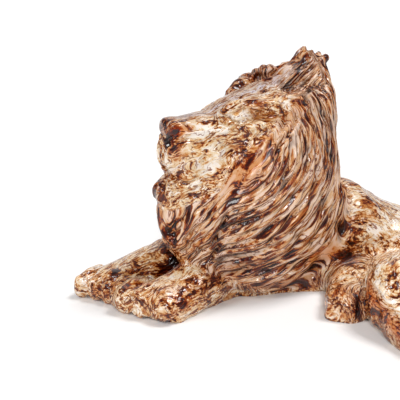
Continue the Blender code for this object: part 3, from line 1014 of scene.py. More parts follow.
@dataclass(frozen=True)
class Marks:
    """The tool's marks.

    Args:
        face: marks round the nose, the lips, the eyes and on the cheeks.
        mane: marks on the ruff, the ears and the beard.
        limbs: the hollow under the beard, and marks on the paws and the hind legs.
    """

    face: tuple[Stroke, ...] = (
        Stroke(((16, 138, 152), (21, 124, 150), (26, 110, 151), (31, 96, 153)), 17.0, 4.0),
        Stroke(((16, 141, 172), (11, 147, 170), (4, 150, 170), (0, 150, 170)), 3.2, -2.2),
        Stroke(((9, 149, 168), (10, 148, 165), (11, 147, 162)), 4.6, -5.5),
        Stroke(((4, 150, 166), (4, 150, 156), (5, 149, 146)), 3.0, 0.8),
        Stroke(((0, 150, 167), (0, 150, 152), (0, 149, 140)), 2.4, -1.4, far=None),
        Stroke(((13, 146, 166), (12, 148, 158), (11, 149, 152), (11, 148, 146), (11, 145, 140),
                (12, 142, 133), (15, 140, 130), (18, 136, 128)), 3.2, 2.2),
        Stroke(((-1, 145, 137), (6, 146, 136), (11, 143, 131), (16, 139, 128)), 3.6, -4.0),
        Stroke(((15, 139, 126), (18, 136, 127), (20, 131, 126), (22, 126, 128), (23, 124, 131),
                (24, 121, 131), (27, 117, 129), (30, 112, 131), (33, 107, 132), (35, 103, 134)),
               2.6, -2.8, sharp=True),
        Stroke(((22, 128, 124), (23, 125, 125), (25, 121, 124)), 6.0, 2.2),
        Stroke(((19, 132, 117), (25, 122, 113), (31, 110, 118)), 4.0, -1.6),
        Stroke(((13, 131, 184), (16, 129, 181), (20, 127, 178)), 2.6, -1.6),
        Stroke(((17, 137, 171), (20, 134, 174), (23, 123, 177), (26, 113, 178), (29, 104, 178),
                (32, 96, 175)), 2.6, 2.0, sharp=True),
        Stroke(((19, 131, 179), (21, 126, 179), (24, 116, 180), (27, 109, 181)), 2.4, -1.4),
        Stroke(((20, 103, 183), (23, 97, 187), (28, 91, 192), (34, 83, 196), (37, 74, 197),
                (38, 66, 193)), 2.4, -2.6, sharp=True, far=(-10, -12)),
        Stroke(((27, 94, 183), (31, 89, 184), (35, 85, 182), (38, 79, 182), (39, 72, 184),
                (39, 66, 188)), 2.2, -1.8, sharp=True, far=(-10, -12)),
        Stroke(((28, 94, 187), (34, 82, 190), (37, 73, 190)), 6.5, 1.6, far=(-10, -12)),
        Stroke(((25, 103, 181), (28, 99, 180), (32, 94, 179), (36, 85, 177), (38, 77, 177),
                (41, 71, 180)), 2.6, 1.8, sharp=True, far=(-10, -11)),
        Stroke(((12, 102, 186), (20, 98, 192), (24, 92, 198), (29, 84, 202), (35, 74, 205),
                (41, 62, 204), (43, 56, 201)), 3.6, 1.6, far=(-10, -12)),
        Stroke(((41, 62, 188), (43, 58, 181), (44, 60, 172)), 3.5, -1.8),
        Stroke(((28, 109, 160), (29, 104, 157), (29, 102, 151), (28, 105, 146), (27, 110, 148),
                (26, 112, 155)), 2.4, 0.9),
        Stroke(((26, 114, 161), (25, 117, 152), (24, 121, 143)), 3.4, -1.8),
        Stroke(((30, 99, 168), (33, 91, 160), (33, 88, 156)), 4.0, -1.6),
    )
    mane: tuple[Stroke, ...] = (
        Stroke(((-50, 51, 195), (-47, 45, 200), (-41, 39, 203)), 5.0, -4.5, far=None),
        Stroke(((-48, 33, 207), (-42, 25, 210), (-35, 19, 212)), 5.0, -4.5, far=None),
        Stroke(((44, 52, 201), (45, 49, 194), (47, 48, 184), (50, 55, 174), (51, 65, 162),
                (50, 73, 153)), 3.6, 1.8),
        Stroke(((47, 45, 204), (52, 40, 199), (53, 37, 189), (55, 43, 178), (55, 52, 170),
                (56, 59, 160), (57, 64, 150), (53, 77, 137), (47, 89, 127)), 3.8, 2.2),
        Stroke(((52, 37, 202), (55, 31, 194), (56, 30, 184), (59, 39, 172), (60, 49, 162),
                (60, 57, 153), (60, 63, 143), (56, 76, 129)), 3.8, 1.8),
        Stroke(((45, 47, 201), (49, 44, 192), (50, 43, 184), (53, 50, 173), (54, 59, 163)), 2.0, -2.0),
        Stroke(((51, 40, 201), (54, 34, 192), (55, 34, 183), (57, 42, 173), (58, 52, 164),
                (58, 60, 152)), 2.0, -2.2),
        Stroke(((47, 41, 206), (50, 32, 209), (52, 23, 211), (54, 18, 207)), 3.0, 1.8),
        Stroke(((51, 39, 203), (53, 31, 203), (54, 21, 199)), 8.0, -2.6),
        Stroke(((50, 35, 206), (53, 27, 206), (54, 21, 204)), 2.4, 1.6),
        Stroke(((54, 18, 207), (55, 19, 198), (55, 24, 190)), 3.0, 1.8),
        Stroke(((56, 74, 141), (57, 71, 137)), 5.0, 2.6, far=None),
        Stroke(((41, 99, 97), (39, 104, 84), (37, 107, 74), (33, 112, 63)), 3.2, -3.8, far=None),
        Stroke(((36, 105, 64), (32, 109, 54), (28, 111, 44)), 3.0, -3.4, far=None),
        Stroke(((-2, 145, 133), (5, 149, 126), (10, 152, 118), (11, 152, 108)), 2.6, -2.0, far=None),
        Stroke(((1, 153, 126), (5, 156, 115), (6, 155, 106)), 2.4, 1.4),
        Stroke(((22, 134, 94), (16, 143, 86), (14, 146, 74), (16, 143, 64)), 4.2, -2.6, far=None),
        Stroke(((20, 136, 72), (25, 128, 62), (28, 120, 54)), 3.4, -2.4),
    )
    limbs: tuple[Stroke, ...] = (
        Stroke(((-14, -26, 36), (0, -30, 40), (14, -34, 46)), 12.0, 12.0, on_head=False,
               push=(0.0, 0.9, 0.45)),
        Stroke(((45, -47, 30), (55, -40, 28), (60, -30, 20), (62, -27, 10)), 2.6, 1.5, on_head=False),
        Stroke(((50, -52, 31), (60, -46, 27), (65, -37, 19), (66, -34, 9)), 2.2, 1.4, on_head=False),
        Stroke(((42, -40, 31), (51, -33, 29), (56, -23, 21), (57, -20, 11)), 2.4, 1.2, on_head=False),
        Stroke(((-25, -109, 24), (-20, -112, 14), (-18, -112, 4)), 2.4, -1.6, on_head=False),
        Stroke(((-10, -98, 26), (-5, -101, 16), (-4, -101, 5)), 2.4, -1.6, on_head=False),
        Stroke(((81, 134, 31), (103, 128, 25), (128, 112, 20), (131, 110, 4)), 3.2, -2.6, on_head=False),
        Stroke(((88, 160, 40), (140, 121, 46), (160, 117, 46), (178, 118, 36), (205, 122, 28)), 4.0, 2.2,
               on_head=False),
        Stroke(((128, 140, 62), (150, 132, 62), (172, 126, 48), (190, 128, 36)), 4.5, -2.4, on_head=False),
        Stroke(((120, 160, 66), (142, 143, 66), (166, 136, 56), (184, 134, 42)), 3.0, 1.6, on_head=False),
    )


@dataclass(frozen=True)
class Limb:
    """The run of one limb, for the marbling that follows it.

    Args:
        path: places along its middle.
        radius: how thick it is.
        start: distance along the marbling at which it starts.
        swirl: how strongly its marbling is folded, 1 the most.
        blur: how far the directions along the path blend, in millimetres.
    """

    path: tuple[tuple[float, float, float], ...]
    radius: float
    start: float
    swirl: float = 0.4
    blur: float = 7.0

    def chart(self, points: Array) -> tuple[Array, Array]:
        """Return each point's distances along, beside and above the path, and from it.

        Places along the path count with the weight exp(-d² / 2 blur²), d being the distance.

        Args:
            points: places, one row each.

        Returns:
            Rows of along, beside and above, and the distance over the limb's radius.
        """
        path = smooth_path(np.array(self.path, dtype=float), 8)
        ahead = np.gradient(path, axis=0)
        ahead /= np.linalg.norm(ahead, axis=1)[:, None]
        beside = np.cross(ahead, (0.0, 0.0, 1.0))
        beside /= np.linalg.norm(beside, axis=1)[:, None]
        above = np.cross(beside, ahead)
        run = np.concatenate(([0.0], np.linalg.norm(np.diff(path, axis=0), axis=1).cumsum()))
        frames = np.stack((ahead, beside, above), axis=2)
        best = np.full(len(points), np.inf)
        for place in path:
            best = np.minimum(best, ((points - place) ** 2).sum(axis=1))
        rows, weights = np.zeros_like(points), np.zeros((len(points), 1))
        for place, turn, reach in zip(path, frames, run):
            apart = points - place
            weight = np.exp((best - (apart**2).sum(axis=1)) / (2 * self.blur**2))[:, None]
            rows += weight * (apart @ turn + np.array((self.start + reach, 0.0, 0.0)))
            weights += weight
        return rows / weights, np.sqrt(best) / self.radius


# The trunk, the near and far foreleg, the right hind foot, the left thigh and shin, the tail, the
# head, and the top of the head
LIMBS = (
    Limb(((4, 60, 60), (0, 130, 55), (0, 168, 52), (6, 200, 40), (22, 234, 35), (44, 270, 35),
          (68, 302, 30)), 50, 0),
    Limb(((4, 60, 20), (13, 25, 20), (23, -8, 17), (34, -38, 14), (42, -62, 12), (56, -84, 12)), 26, 30,
         0.8),
    Limb(((-30, 60, 20), (-36, 36, 20), (-34, 0, 20), (-31, -42, 16), (-25, -74, 12), (-10, -112, 12)),
         26, 60, 0.8),
    Limb(((60, 146, 10), (80, 126, 10), (119, 102, 10), (128, 97, 10)), 20, 90, 0.7),
    Limb(((76, 250, 24), (84, 236, 24), (103, 208, 26), (122, 176, 28), (141, 142, 28), (145, 130, 27)),
         34, 200, 0.15),
    Limb(((136, 134, 30), (152, 130, 28), (170, 130, 20), (190, 132, 12), (214, 136, 8), (234, 130, 8)),
         20, 330, 0.15),
    Limb(((-42, 236, 10), (-57, 206, 10), (-60, 188, 10)), 12, 200),
    Limb(((0, 105, 170), (6, 40, 165), (10, 0, 160), (13, -46, 150)), 46, 40, 1.0),
    Limb(((2, 100, 222), (8, 56, 209), (9, 20, 199), (8, -12, 187), (11, -44, 186)), 17, 10, 0.2),
)


@dataclass(frozen=True)
class Patch:
    """A place or a band where the clay is lighter, darker or of another colour than around it.

    Args:
        centre: its middle, or the start of its middle line, in design millimetres.
        radius: how far it reaches.
        light: how much lighter, below zero darker.
        warm: how much of it is orange-brown clay.
        lilac_clay_and_sheen: how much of it is lilac-brown, as clay or as painted sheen.
        run: further places along its middle line.
    """

    centre: tuple[float, float, float]
    radius: float
    light: float = 0.0
    warm: float = 0.0
    lilac_clay_and_sheen: float = 0.0
    run: tuple[tuple[float, float, float], ...] = ()

    def weight(self, points: Array) -> Array:
        """Work out exp(-d² / radius²), d being the distance to the middle line.

        Args:
            points: places, one row each.

        Returns:
            The patch's share at each point.
        """
        stops = np.array((self.centre, *self.run), dtype=float)
        gap = ((points - stops[0]) ** 2).sum(axis=1)
        for start, end in zip(stops[:-1], stops[1:]):
            span = end - start
            share = np.clip((points - start) @ span / (span @ span), 0.0, 1.0)
            gap = np.minimum(gap, ((points - start - share[:, None] * span) ** 2).sum(axis=1))
        return np.exp(-gap / self.radius**2)


# Where the clay is lighter, darker or of another colour than the marbling alone would make it;
# some of these are painted highlights, sheen and shade, each marked where it stands
PATCHES = (
    Patch((8, -44, 177), 8, -0.09, 0.5, 0.1, run=((20, -43, 179), (26, -34, 178))),
    Patch((26, -34, 178), 5, -0.04, 0.5, run=((26, -22, 180),)),
    # Painted shade in the nostril's hollow.
    Patch((19, -43, 167), 5, -0.25),
    Patch((24, -35, 134), 6, -0.16, 0.3),
    Patch((28, -35, 158), 9, -0.11, 0.5),
    Patch((12, -44, 174), 5, 0.08),
    Patch((34, -4, 152), 9, -0.05),
    # Pale clay round the eye, lightened further as a painted highlight.
    Patch((44, 28, 190), 12, 0.10),
    Patch((40, 8, 178), 12, 0.05),
    # Painted highlight on the side of the muzzle.
    Patch((28, -20, 140), 9, 0.04),
    Patch((32, -17, 126), 6, 0.12),
    Patch((10, -48, 118), 14, -0.07, 0.3, 0.3),
    Patch((26, -36, 90), 5, -0.09, 0.3, run=((23, -41, 80), (24, -38, 66))),
    Patch((12, -43, 70), 7, -0.06, 0.3, run=((10, -38, 57),)),
    # Painted shade in the hollow between the forelegs, under the beard.
    Patch((0, -28, 36), 16, -0.3),
    Patch((38, 40, 202), 10, -0.05, 0.6),
    Patch((54, 76, 204), 13, 0.04, 0.25),
    Patch((-40, 52, 205), 22, -0.04, 0.1, 0.5),
    Patch((-28, 80, 218), 18, -0.05, 0.1, 0.5),
    Patch((48, 10, 62), 12, -0.04, 0.0, 0.3),
    Patch((60, 10, 100), 16, -0.04),
    Patch((57, 137, 38), 11, -0.18, 0.2, 0.1),
    Patch((40, 150, 88), 14, 0.09, run=((48, 160, 74), (50, 176, 66), (48, 200, 62))),
    Patch((52, 145, 66), 6, -0.05, 0.3, run=((43, 181, 76),)),
    Patch((54, 122, 42), 9, -0.06, 0.5),
    Patch((54, 30, 146), 15, -0.035, 0.4, run=((56, 8, 130),)),
    Patch((30, 240, 60), 40, 0.02),
    Patch((6, 112, 226), 20, -0.01, 0.0, 0.35),
    Patch((54, -22, 27), 10, -0.05, 0.2, 0.4, run=((47, -8, 30), (42, 6, 32), (46, 16, 38))),
    Patch((53, 32, 39), 7, -0.07, 0.3, 0.1, run=((59, 50, 48),)),
    Patch((42, 10, 16), 7, -0.03, 0.2, 0.6, run=((48, 29, 15), (53, 54, 15), (45, 91, 12), (50, 112, 12))),
    Patch((52, 104, 36), 9, 0.0, 0.7),
    Patch((138, 118, 44), 9, -0.02, 0.9,
          run=((144, 114, 36), (162, 112, 29), (182, 113, 22), (204, 114, 16))),
    # Painted highlight along the ridge of the left hind leg.
    Patch((136, 126, 66), 3.6, 0.06,
          run=((151, 117, 56), (162, 115, 41), (176, 116, 36), (190, 118, 33), (208, 120, 26))),
    Patch((146, 112, 6), 8, -0.04, 0.0, 0.5, run=((174, 112, 8), (200, 112, 6))),
    # Painted shade in the crevice beside the left shin.
    Patch((127, 110, 27), 3.5, -0.22, run=((131, 109, 14), (131, 112, 2))),
    Patch((134, 112, 4), 4, 0.2),
    Patch((152, 127, 64), 6, -0.06, run=((165, 125, 58), (175, 123, 48))),
    Patch((122, 104, 14), 24, -0.03, 0.3),
    Patch((58, -50, 22), 16, -0.02, 0.35),
    Patch((56, -66, 20), 20, -0.03, 0.1),
    Patch((0, -112, 16), 28, -0.015, 0.2),
    Patch((-20, -20, 44), 24, -0.02, 0.0, 0.4),
    # These two: a lilac-grey band along the top of the head, partly lilac clay and partly painted sheen of
    # the sky.
    Patch((4, 78, 216), 15, 0.02, -0.1, 0.8, run=((8, 56, 209), (9, 20, 199), (8, -10, 187))),
    Patch((8, -12, 187), 8, -0.02, 0.0, 0.8, run=((11, -40, 187),)),
    # Painted highlight along the ridge under the eye.
    Patch((30, -27, 174), 3.5, 0.16, run=((33, -16, 176), (36, 0, 177), (39, 10, 175))),
    # Painted highlight along the edge of the upper lip.
    Patch((23, -40, 166), 2.8, 0.14, run=((21, -43, 152), (21, -39, 140), (25, -34, 130))),
    # Painted shade along two grooves down the front of the mane.
    Patch((48, 9, 97), 2.6, -0.14, run=((46, 4, 84), (44, 1, 74), (41, -4, 63))),
    Patch((43, 3, 64), 2.6, -0.14, run=((40, -2, 54), (36, -4, 44))),
    Patch((56, 116, 176), 20, 0.04, run=((59, 118, 120),)),
    Patch((52, 118, 150), 34, -0.03, 0.0, 0.3),
)


@dataclass(frozen=True)
class Pattern:
    """A noise stretched along the limbs on the body and along the locks on the mane.

    Args:
        body: width of its broadest features in millimetres, and their length over their width.
        mane: the same on the mane.
        detail: how many times halved features are added.
        roughness: how strong the finer ones are.
        offset: shift that makes one noise differ from another.
    """

    body: tuple[float, float]
    mane: tuple[float, float]
    detail: float
    roughness: float
    offset: float

    def add(
        self, tree: bpy.types.NodeTree, share: bpy.types.NodeSocket,
        body_place: bpy.types.NodeSocket, mane_place: bpy.types.NodeSocket,
    ) -> bpy.types.NodeSocket:
        """Add the noise on the body and on the mane, blended by the mane's share.

        Args:
            tree: the material's tree.
            share: how much of the mane's noise shows.
            body_place: place along and across the limbs, in millimetres.
            mane_place: place along and across the locks, in millimetres.

        Returns:
            The noise's value, 0 to 1 about 0.5.
        """
        values = []
        for source, (width, stretch) in ((body_place, self.body), (mane_place, self.mane)):
            scaled = add_node(tree, "ShaderNodeVectorMath", operation="MULTIPLY", inputs={
                0: source, 1: (1 / (width * stretch), 1 / width, 1 / width),
            }).outputs["Vector"]
            moved = add_node(tree, "ShaderNodeVectorMath", operation="ADD", inputs={
                0: scaled, 1: (self.offset, self.offset, self.offset),
            }).outputs["Vector"]
            values.append(add_node(tree, "ShaderNodeTexNoise", inputs={
                "Vector": moved, "Scale": 1.0, "Detail": self.detail,
                "Roughness": self.roughness, "Distortion": 1.2 / stretch,
            }).outputs["Fac"])
        return add_node(tree, "ShaderNodeMix", inputs={0: share, 2: values[0], 3: values[1]}).outputs[0]


@dataclass(frozen=True)
class MarbledClay:
    """Agateware: cream, ochre and brown clays wedged together and stretched out by the hand.

    The pale clays lie in drifts 4 to 7 mm wide.  Dark brown clay runs through them as veins 1 to
    4 mm wide with orange-brown edges, and as thin threads.  All are stretched along every lock and
    limb, and finer strokes break them up.  A clear, glossy glaze lies over all of it and gives
    small, sharp highlights.  The crevices are darker in the colour, partly from glaze that pools
    there and partly as painted shade.  The real clay has strokes finer than 1.5 mm too, which
    would not show, so the finest are drawn 1.5 to 3 mm wide.

    Args:
        drift: the pale clay's drifts.
        vein: the dark clay's veins.
        line: the thin threads, which lie where it crosses its middle value.
        zone: whole zones that are lighter or darker than others.
        zone_share: how strongly they are.
        streak: long strokes of the hand.
        streak_share: how strong they are on the body, and how much stronger on the mane.
        fleck: short strokes of the hand.
        fleck_share: the same for them.
        fold_size: length and width of the folds in the wedged clay, in millimetres.
        body_fold: how far they push the clay aside where a limb's swirl is 1, in millimetres.
        mane_fold: the same on the mane.
        pale: place of each pale clay in the noise's range, and its sRGB colour.
        dark: tint that the dark clay gives at each place in the noise's range.
        thread: tint of the thin threads.
        warm: tint of the orange-brown clay.
        lilac_clay_and_sheen: tint of the lilac-brown clay, also laid on as painted sheen.
        pooled_glaze_and_shade: tint of a crevice, from glaze pooled there and from painted shade.
        roughness: roughness of the fired glaze.
        ior: index of refraction of the glaze.
    """

    drift: Pattern = Pattern((7.0, 2.8), (3.8, 15.0), 4.0, 0.7, 0.0)
    vein: Pattern = Pattern((7.0, 2.8), (3.8, 15.0), 6.0, 0.78, 31.0)
    line: Pattern = Pattern((8.4, 2.8), (4.56, 15.0), 3.0, 0.6, 83.0)
    zone: Pattern = Pattern((21.0, 1.4), (11.4, 7.5), 1.0, 0.5, 7.0)
    zone_share: float = 0.27
    streak: Pattern = Pattern((2.8, 3.6), (2.1, 20.0), 1.0, 0.5, 57.0)
    streak_share: tuple[float, float] = (0.24, 0.2)
    fleck: Pattern = Pattern((1.9, 2.6), (1.5, 18.0), 1.0, 0.5, 13.0)
    fleck_share: tuple[float, float] = (0.3, 0.24)
    fold_size: tuple[float, float] = (50.0, 26.0)
    body_fold: float = 34.0
    mane_fold: float = 3.0
    pale: tuple[tuple[float, str], ...] = (
        (0.30, "AC6830"),
        (0.41, "C6884A"),
        (0.47, "DEB47E"),
        (0.51, "F2DFC0"),
        (0.55, "E4C496"),
        (0.585, "F4E8D4"),
        (0.66, "FAF2E8"),
    )
    dark: tuple[tuple[float, str], ...] = (
        (0.20, "24100A"),
        (0.33, "4E2416"),
        (0.40, "6E341E"),
        (0.43, "9A5428"),
        (0.455, "CC8840"),
        (0.48, "F2D098"),
        (0.51, "FFFFFF"),
    )
    thread: str = "8A4A26"
    warm: str = "DC9450"
    lilac_clay_and_sheen: str = "BEB6CC"
    pooled_glaze_and_shade: str = "4A2418"
    roughness: float = 0.12
    ior: float = 1.5

    def material(self) -> bpy.types.Material:
        """Make the clay's material, reading the piece's own attributes.

        The pale clay is read at drift + light + strokes, and the dark clay at
        vein + light - 0.08 crevice + 0.06 shade + strokes, the crevice term being painted shade.
        The two are multiplied, and so are the tints of the threads, the orange clay, the lilac of
        clay and painted sheen, and the crevices' pooled glaze and painted shade.

        Returns:
            The material.
        """
        mat = bpy.data.materials.new("agateware_clear_glazed")
        mat.use_nodes = True
        tree = mat.node_tree
        shader = tree.nodes["Principled BSDF"]
        comb, grain, place, tone = (
            add_node(tree, "ShaderNodeAttribute", attribute_name=name).outputs["Vector"]
            for name in ("comb", "grain", "place", "tone"))
        swirl = add_node(tree, "ShaderNodeAttribute", attribute_name="swirl").outputs["Fac"]
        mane, crevice, shade = add_node(tree, "ShaderNodeSeparateXYZ", inputs={0: place}).outputs
        light, warm, lilac_clay_and_sheen = add_node(tree, "ShaderNodeSeparateXYZ", inputs={0: tone}).outputs
        push = add_node(tree, "ShaderNodeMath", operation="MULTIPLY", inputs={0: swirl, 1: self.body_fold})
        body = self.folded(tree, grain, push.outputs[0])
        locks = self.folded(tree, comb, self.mane_fold)
        drift, vein, line, zone = (
            pattern.add(tree, mane, body, locks)
            for pattern in (self.drift, self.vein, self.line, self.zone))
        streak, fleck = (
            self.stroke(tree, mane, pattern.add(tree, mane, body, comb), share)
            for pattern, share in ((self.streak, self.streak_share), (self.fleck, self.fleck_share)))
        zone = add_node(tree, "ShaderNodeMath", operation="SUBTRACT", inputs={0: zone, 1: 0.5}).outputs[0]
        light = add_node(tree, "ShaderNodeMath", operation="MULTIPLY_ADD", inputs={
            0: zone, 1: self.zone_share, 2: light,
        }).outputs[0]
        # Painted shade: each crevice darkens the dark clay's reading by 0.08 of its depth.
        for value, share in ((light, 1.0), (crevice, -0.08), (shade, 0.06), (streak, 1.0), (fleck, 1.0)):
            vein = add_node(tree, "ShaderNodeMath", operation="MULTIPLY_ADD", inputs={
                0: value, 1: share, 2: vein,
            }).outputs[0]
        for value in (light, fleck, streak):
            drift = add_node(tree, "ShaderNodeMath", operation="ADD", inputs={
                0: drift, 1: value,
            }).outputs[0]
        middle = add_node(tree, "ShaderNodeMath", operation="SUBTRACT", inputs={0: line, 1: 0.5}).outputs[0]
        thread = add_node(tree, "ShaderNodeMapRange", inputs={
            "Value": add_node(tree, "ShaderNodeMath", operation="ABSOLUTE", inputs={0: middle}).outputs[0],
            "From Min": 0.005, "From Max": 0.02, "To Min": 0.9, "To Max": 0.0,
        }).outputs["Result"]
        # Painted shade in the crevices, together with the glaze that pools there: the deeper, the more dark
        # tint.
        pooled_glaze_and_shade = add_node(tree, "ShaderNodeMapRange", inputs={
            "Value": crevice, "From Min": 0.35, "From Max": 0.85, "To Min": 0.0, "To Max": 0.85,
        }).outputs["Result"]
        colour = self.clays(tree, drift, vein)
        for share, tint in (
            (thread, self.thread), (warm, self.warm), (lilac_clay_and_sheen, self.lilac_clay_and_sheen), (pooled_glaze_and_shade, self.pooled_glaze_and_shade),
        ):
            colour = add_node(
                tree, "ShaderNodeMix", data_type="RGBA", blend_type="MULTIPLY", clamp_factor=True,
                inputs={0: share, 6: colour, 7: (*linear(tint), 1.0)}).outputs[2]
        bump = add_node(tree, "ShaderNodeBump", inputs={
            "Height": streak, "Strength": 0.7, "Distance": 0.005,
        })
        tree.links.new(colour, shader.inputs["Base Color"])
        tree.links.new(bump.outputs["Normal"], shader.inputs["Normal"])
        shader.inputs["Roughness"].default_value = self.roughness
        shader.inputs["IOR"].default_value = self.ior
        return mat

    def folded(
        self, tree: bpy.types.NodeTree, source: bpy.types.NodeSocket, wander: bpy.types.NodeSocket | float,
    ) -> bpy.types.NodeSocket:
        """Push a place aside by the wedged clay's broad folds: place + wander (noise - 0.5).

        Args:
            tree: the material's tree.
            source: place in millimetres, the flow first.
            wander: how far the folds push, in millimetres.

        Returns:
            The place after the push.
        """
        length, width = self.fold_size
        scaled = add_node(tree, "ShaderNodeVectorMath", operation="MULTIPLY", inputs={
            0: source, 1: (1 / length, 1 / width, 1 / width),
        })
        fold = add_node(tree, "ShaderNodeTexNoise", inputs={
            "Vector": scaled.outputs["Vector"], "Scale": 1.0, "Detail": 2.0,
        })
        centred = add_node(tree, "ShaderNodeVectorMath", operation="SUBTRACT", inputs={
            0: fold.outputs["Color"], 1: (0.5, 0.5, 0.5),
        })
        push = add_node(tree, "ShaderNodeVectorMath", operation="SCALE", inputs={
            0: centred.outputs["Vector"], "Scale": wander,
        })
        return add_node(tree, "ShaderNodeVectorMath", operation="ADD", inputs={
            0: source, 1: push.outputs["Vector"],
        }).outputs["Vector"]

    def stroke(
        self, tree: bpy.types.NodeTree, mane: bpy.types.NodeSocket, noise: bpy.types.NodeSocket,
        share: tuple[float, float],
    ) -> bpy.types.NodeSocket:
        """Centre a fine noise and give it its strength: (noise - 0.5) (body share + mane more).

        Args:
            tree: the material's tree.
            mane: 1 on the mane, 0 off it.
            noise: the noise's value.
            share: its strength on the body, and how much more it has on the mane.

        Returns:
            The strokes' value about 0.
        """
        strength, more = share
        centred = add_node(tree, "ShaderNodeMath", operation="SUBTRACT", inputs={0: noise, 1: 0.5})
        grown = add_node(tree, "ShaderNodeMath", operation="MULTIPLY_ADD", inputs={
            0: mane, 1: more, 2: strength,
        })
        return add_node(tree, "ShaderNodeMath", operation="MULTIPLY", inputs={
            0: centred.outputs[0], 1: grown.outputs[0],
        }).outputs[0]

    def clays(
        self, tree: bpy.types.NodeTree, drift: bpy.types.NodeSocket, vein: bpy.types.NodeSocket,
    ) -> bpy.types.NodeSocket:
        """Read the pale and the dark clay along straight steps between their stops, and multiply.

        Args:
            tree: the material's tree.
            drift: where the pale clay is read.
            vein: where the dark clay is read.

        Returns:
            The clay's colour.
        """
        colours = []
        for value, layers in ((drift, self.pale), (vein, self.dark)):
            node = add_node(tree, "ShaderNodeValToRGB", inputs={"Fac": value})
            stops = node.color_ramp.elements
            while len(stops) < len(layers):
                stops.new(1.0)
            for stop, (position, colour) in zip(stops, layers):
                stop.position = position
                stop.color = (*linear(colour), 1.0)
            colours.append(node.outputs["Color"])
        return add_node(tree, "ShaderNodeMix", data_type="RGBA", blend_type="MULTIPLY", inputs={
            0: 1.0, 6: colours[0], 7: colours[1],
        }).outputs[2]


@dataclass(frozen=True)
class MattPaint:
    """White matt emulsion rolled on a board: flat and diffuse, with next to no highlight.

    Args:
        colour: its sRGB colour.
        roughness: roughness of the rolled paint.
        specular: strength of its faint gloss.
    """

    colour: str = "F6F6F6"
    roughness: float = 0.8
    specular: float = 0.2

    def material(self) -> bpy.types.Material:
        """Make the paint's material.

        Returns:
            The material.
        """
        mat = bpy.data.materials.new("matt_white_paint")
        mat.use_nodes = True
        shader = mat.node_tree.nodes["Principled BSDF"]
        shader.inputs["Base Color"].default_value = (*linear(self.colour), 1.0)
        shader.inputs["Roughness"].default_value = self.roughness
        shader.inputs["Specular IOR Level"].default_value = self.specular
        return mat


def linear(colour: str) -> tuple[float, float, float]:
    """Turn an sRGB hex colour into linear light.

    Args:
        colour: six hex digits.

    Returns:
        Linear red, green and blue.
    """
    parts = [int(colour[i:i + 2], 16) / 255 for i in (0, 2, 4)]
    return tuple(p / 12.92 if p <= 0.04045 else ((p + 0.055) / 1.055) ** 2.4 for p in parts)


def add_node(
    tree: bpy.types.NodeTree, kind: str, inputs: dict[str | int, object] | None = None, **settings: object
) -> bpy.types.Node:
    """Add a node with its settings and links.

    Args:
        tree: the tree that gets the node.
        kind: the node's type name.
        inputs: socket name or number to a value or to the socket that feeds it.
        settings: the node's own properties.

    Returns:
        The new node.
    """
    node = tree.nodes.new(kind)
    for name, value in settings.items():
        setattr(node, name, value)
    for name, value in (inputs or {}).items():
        if isinstance(value, bpy.types.NodeSocket):
            tree.links.new(value, node.inputs[name])
        else:
            node.inputs[name].default_value = value
    return node


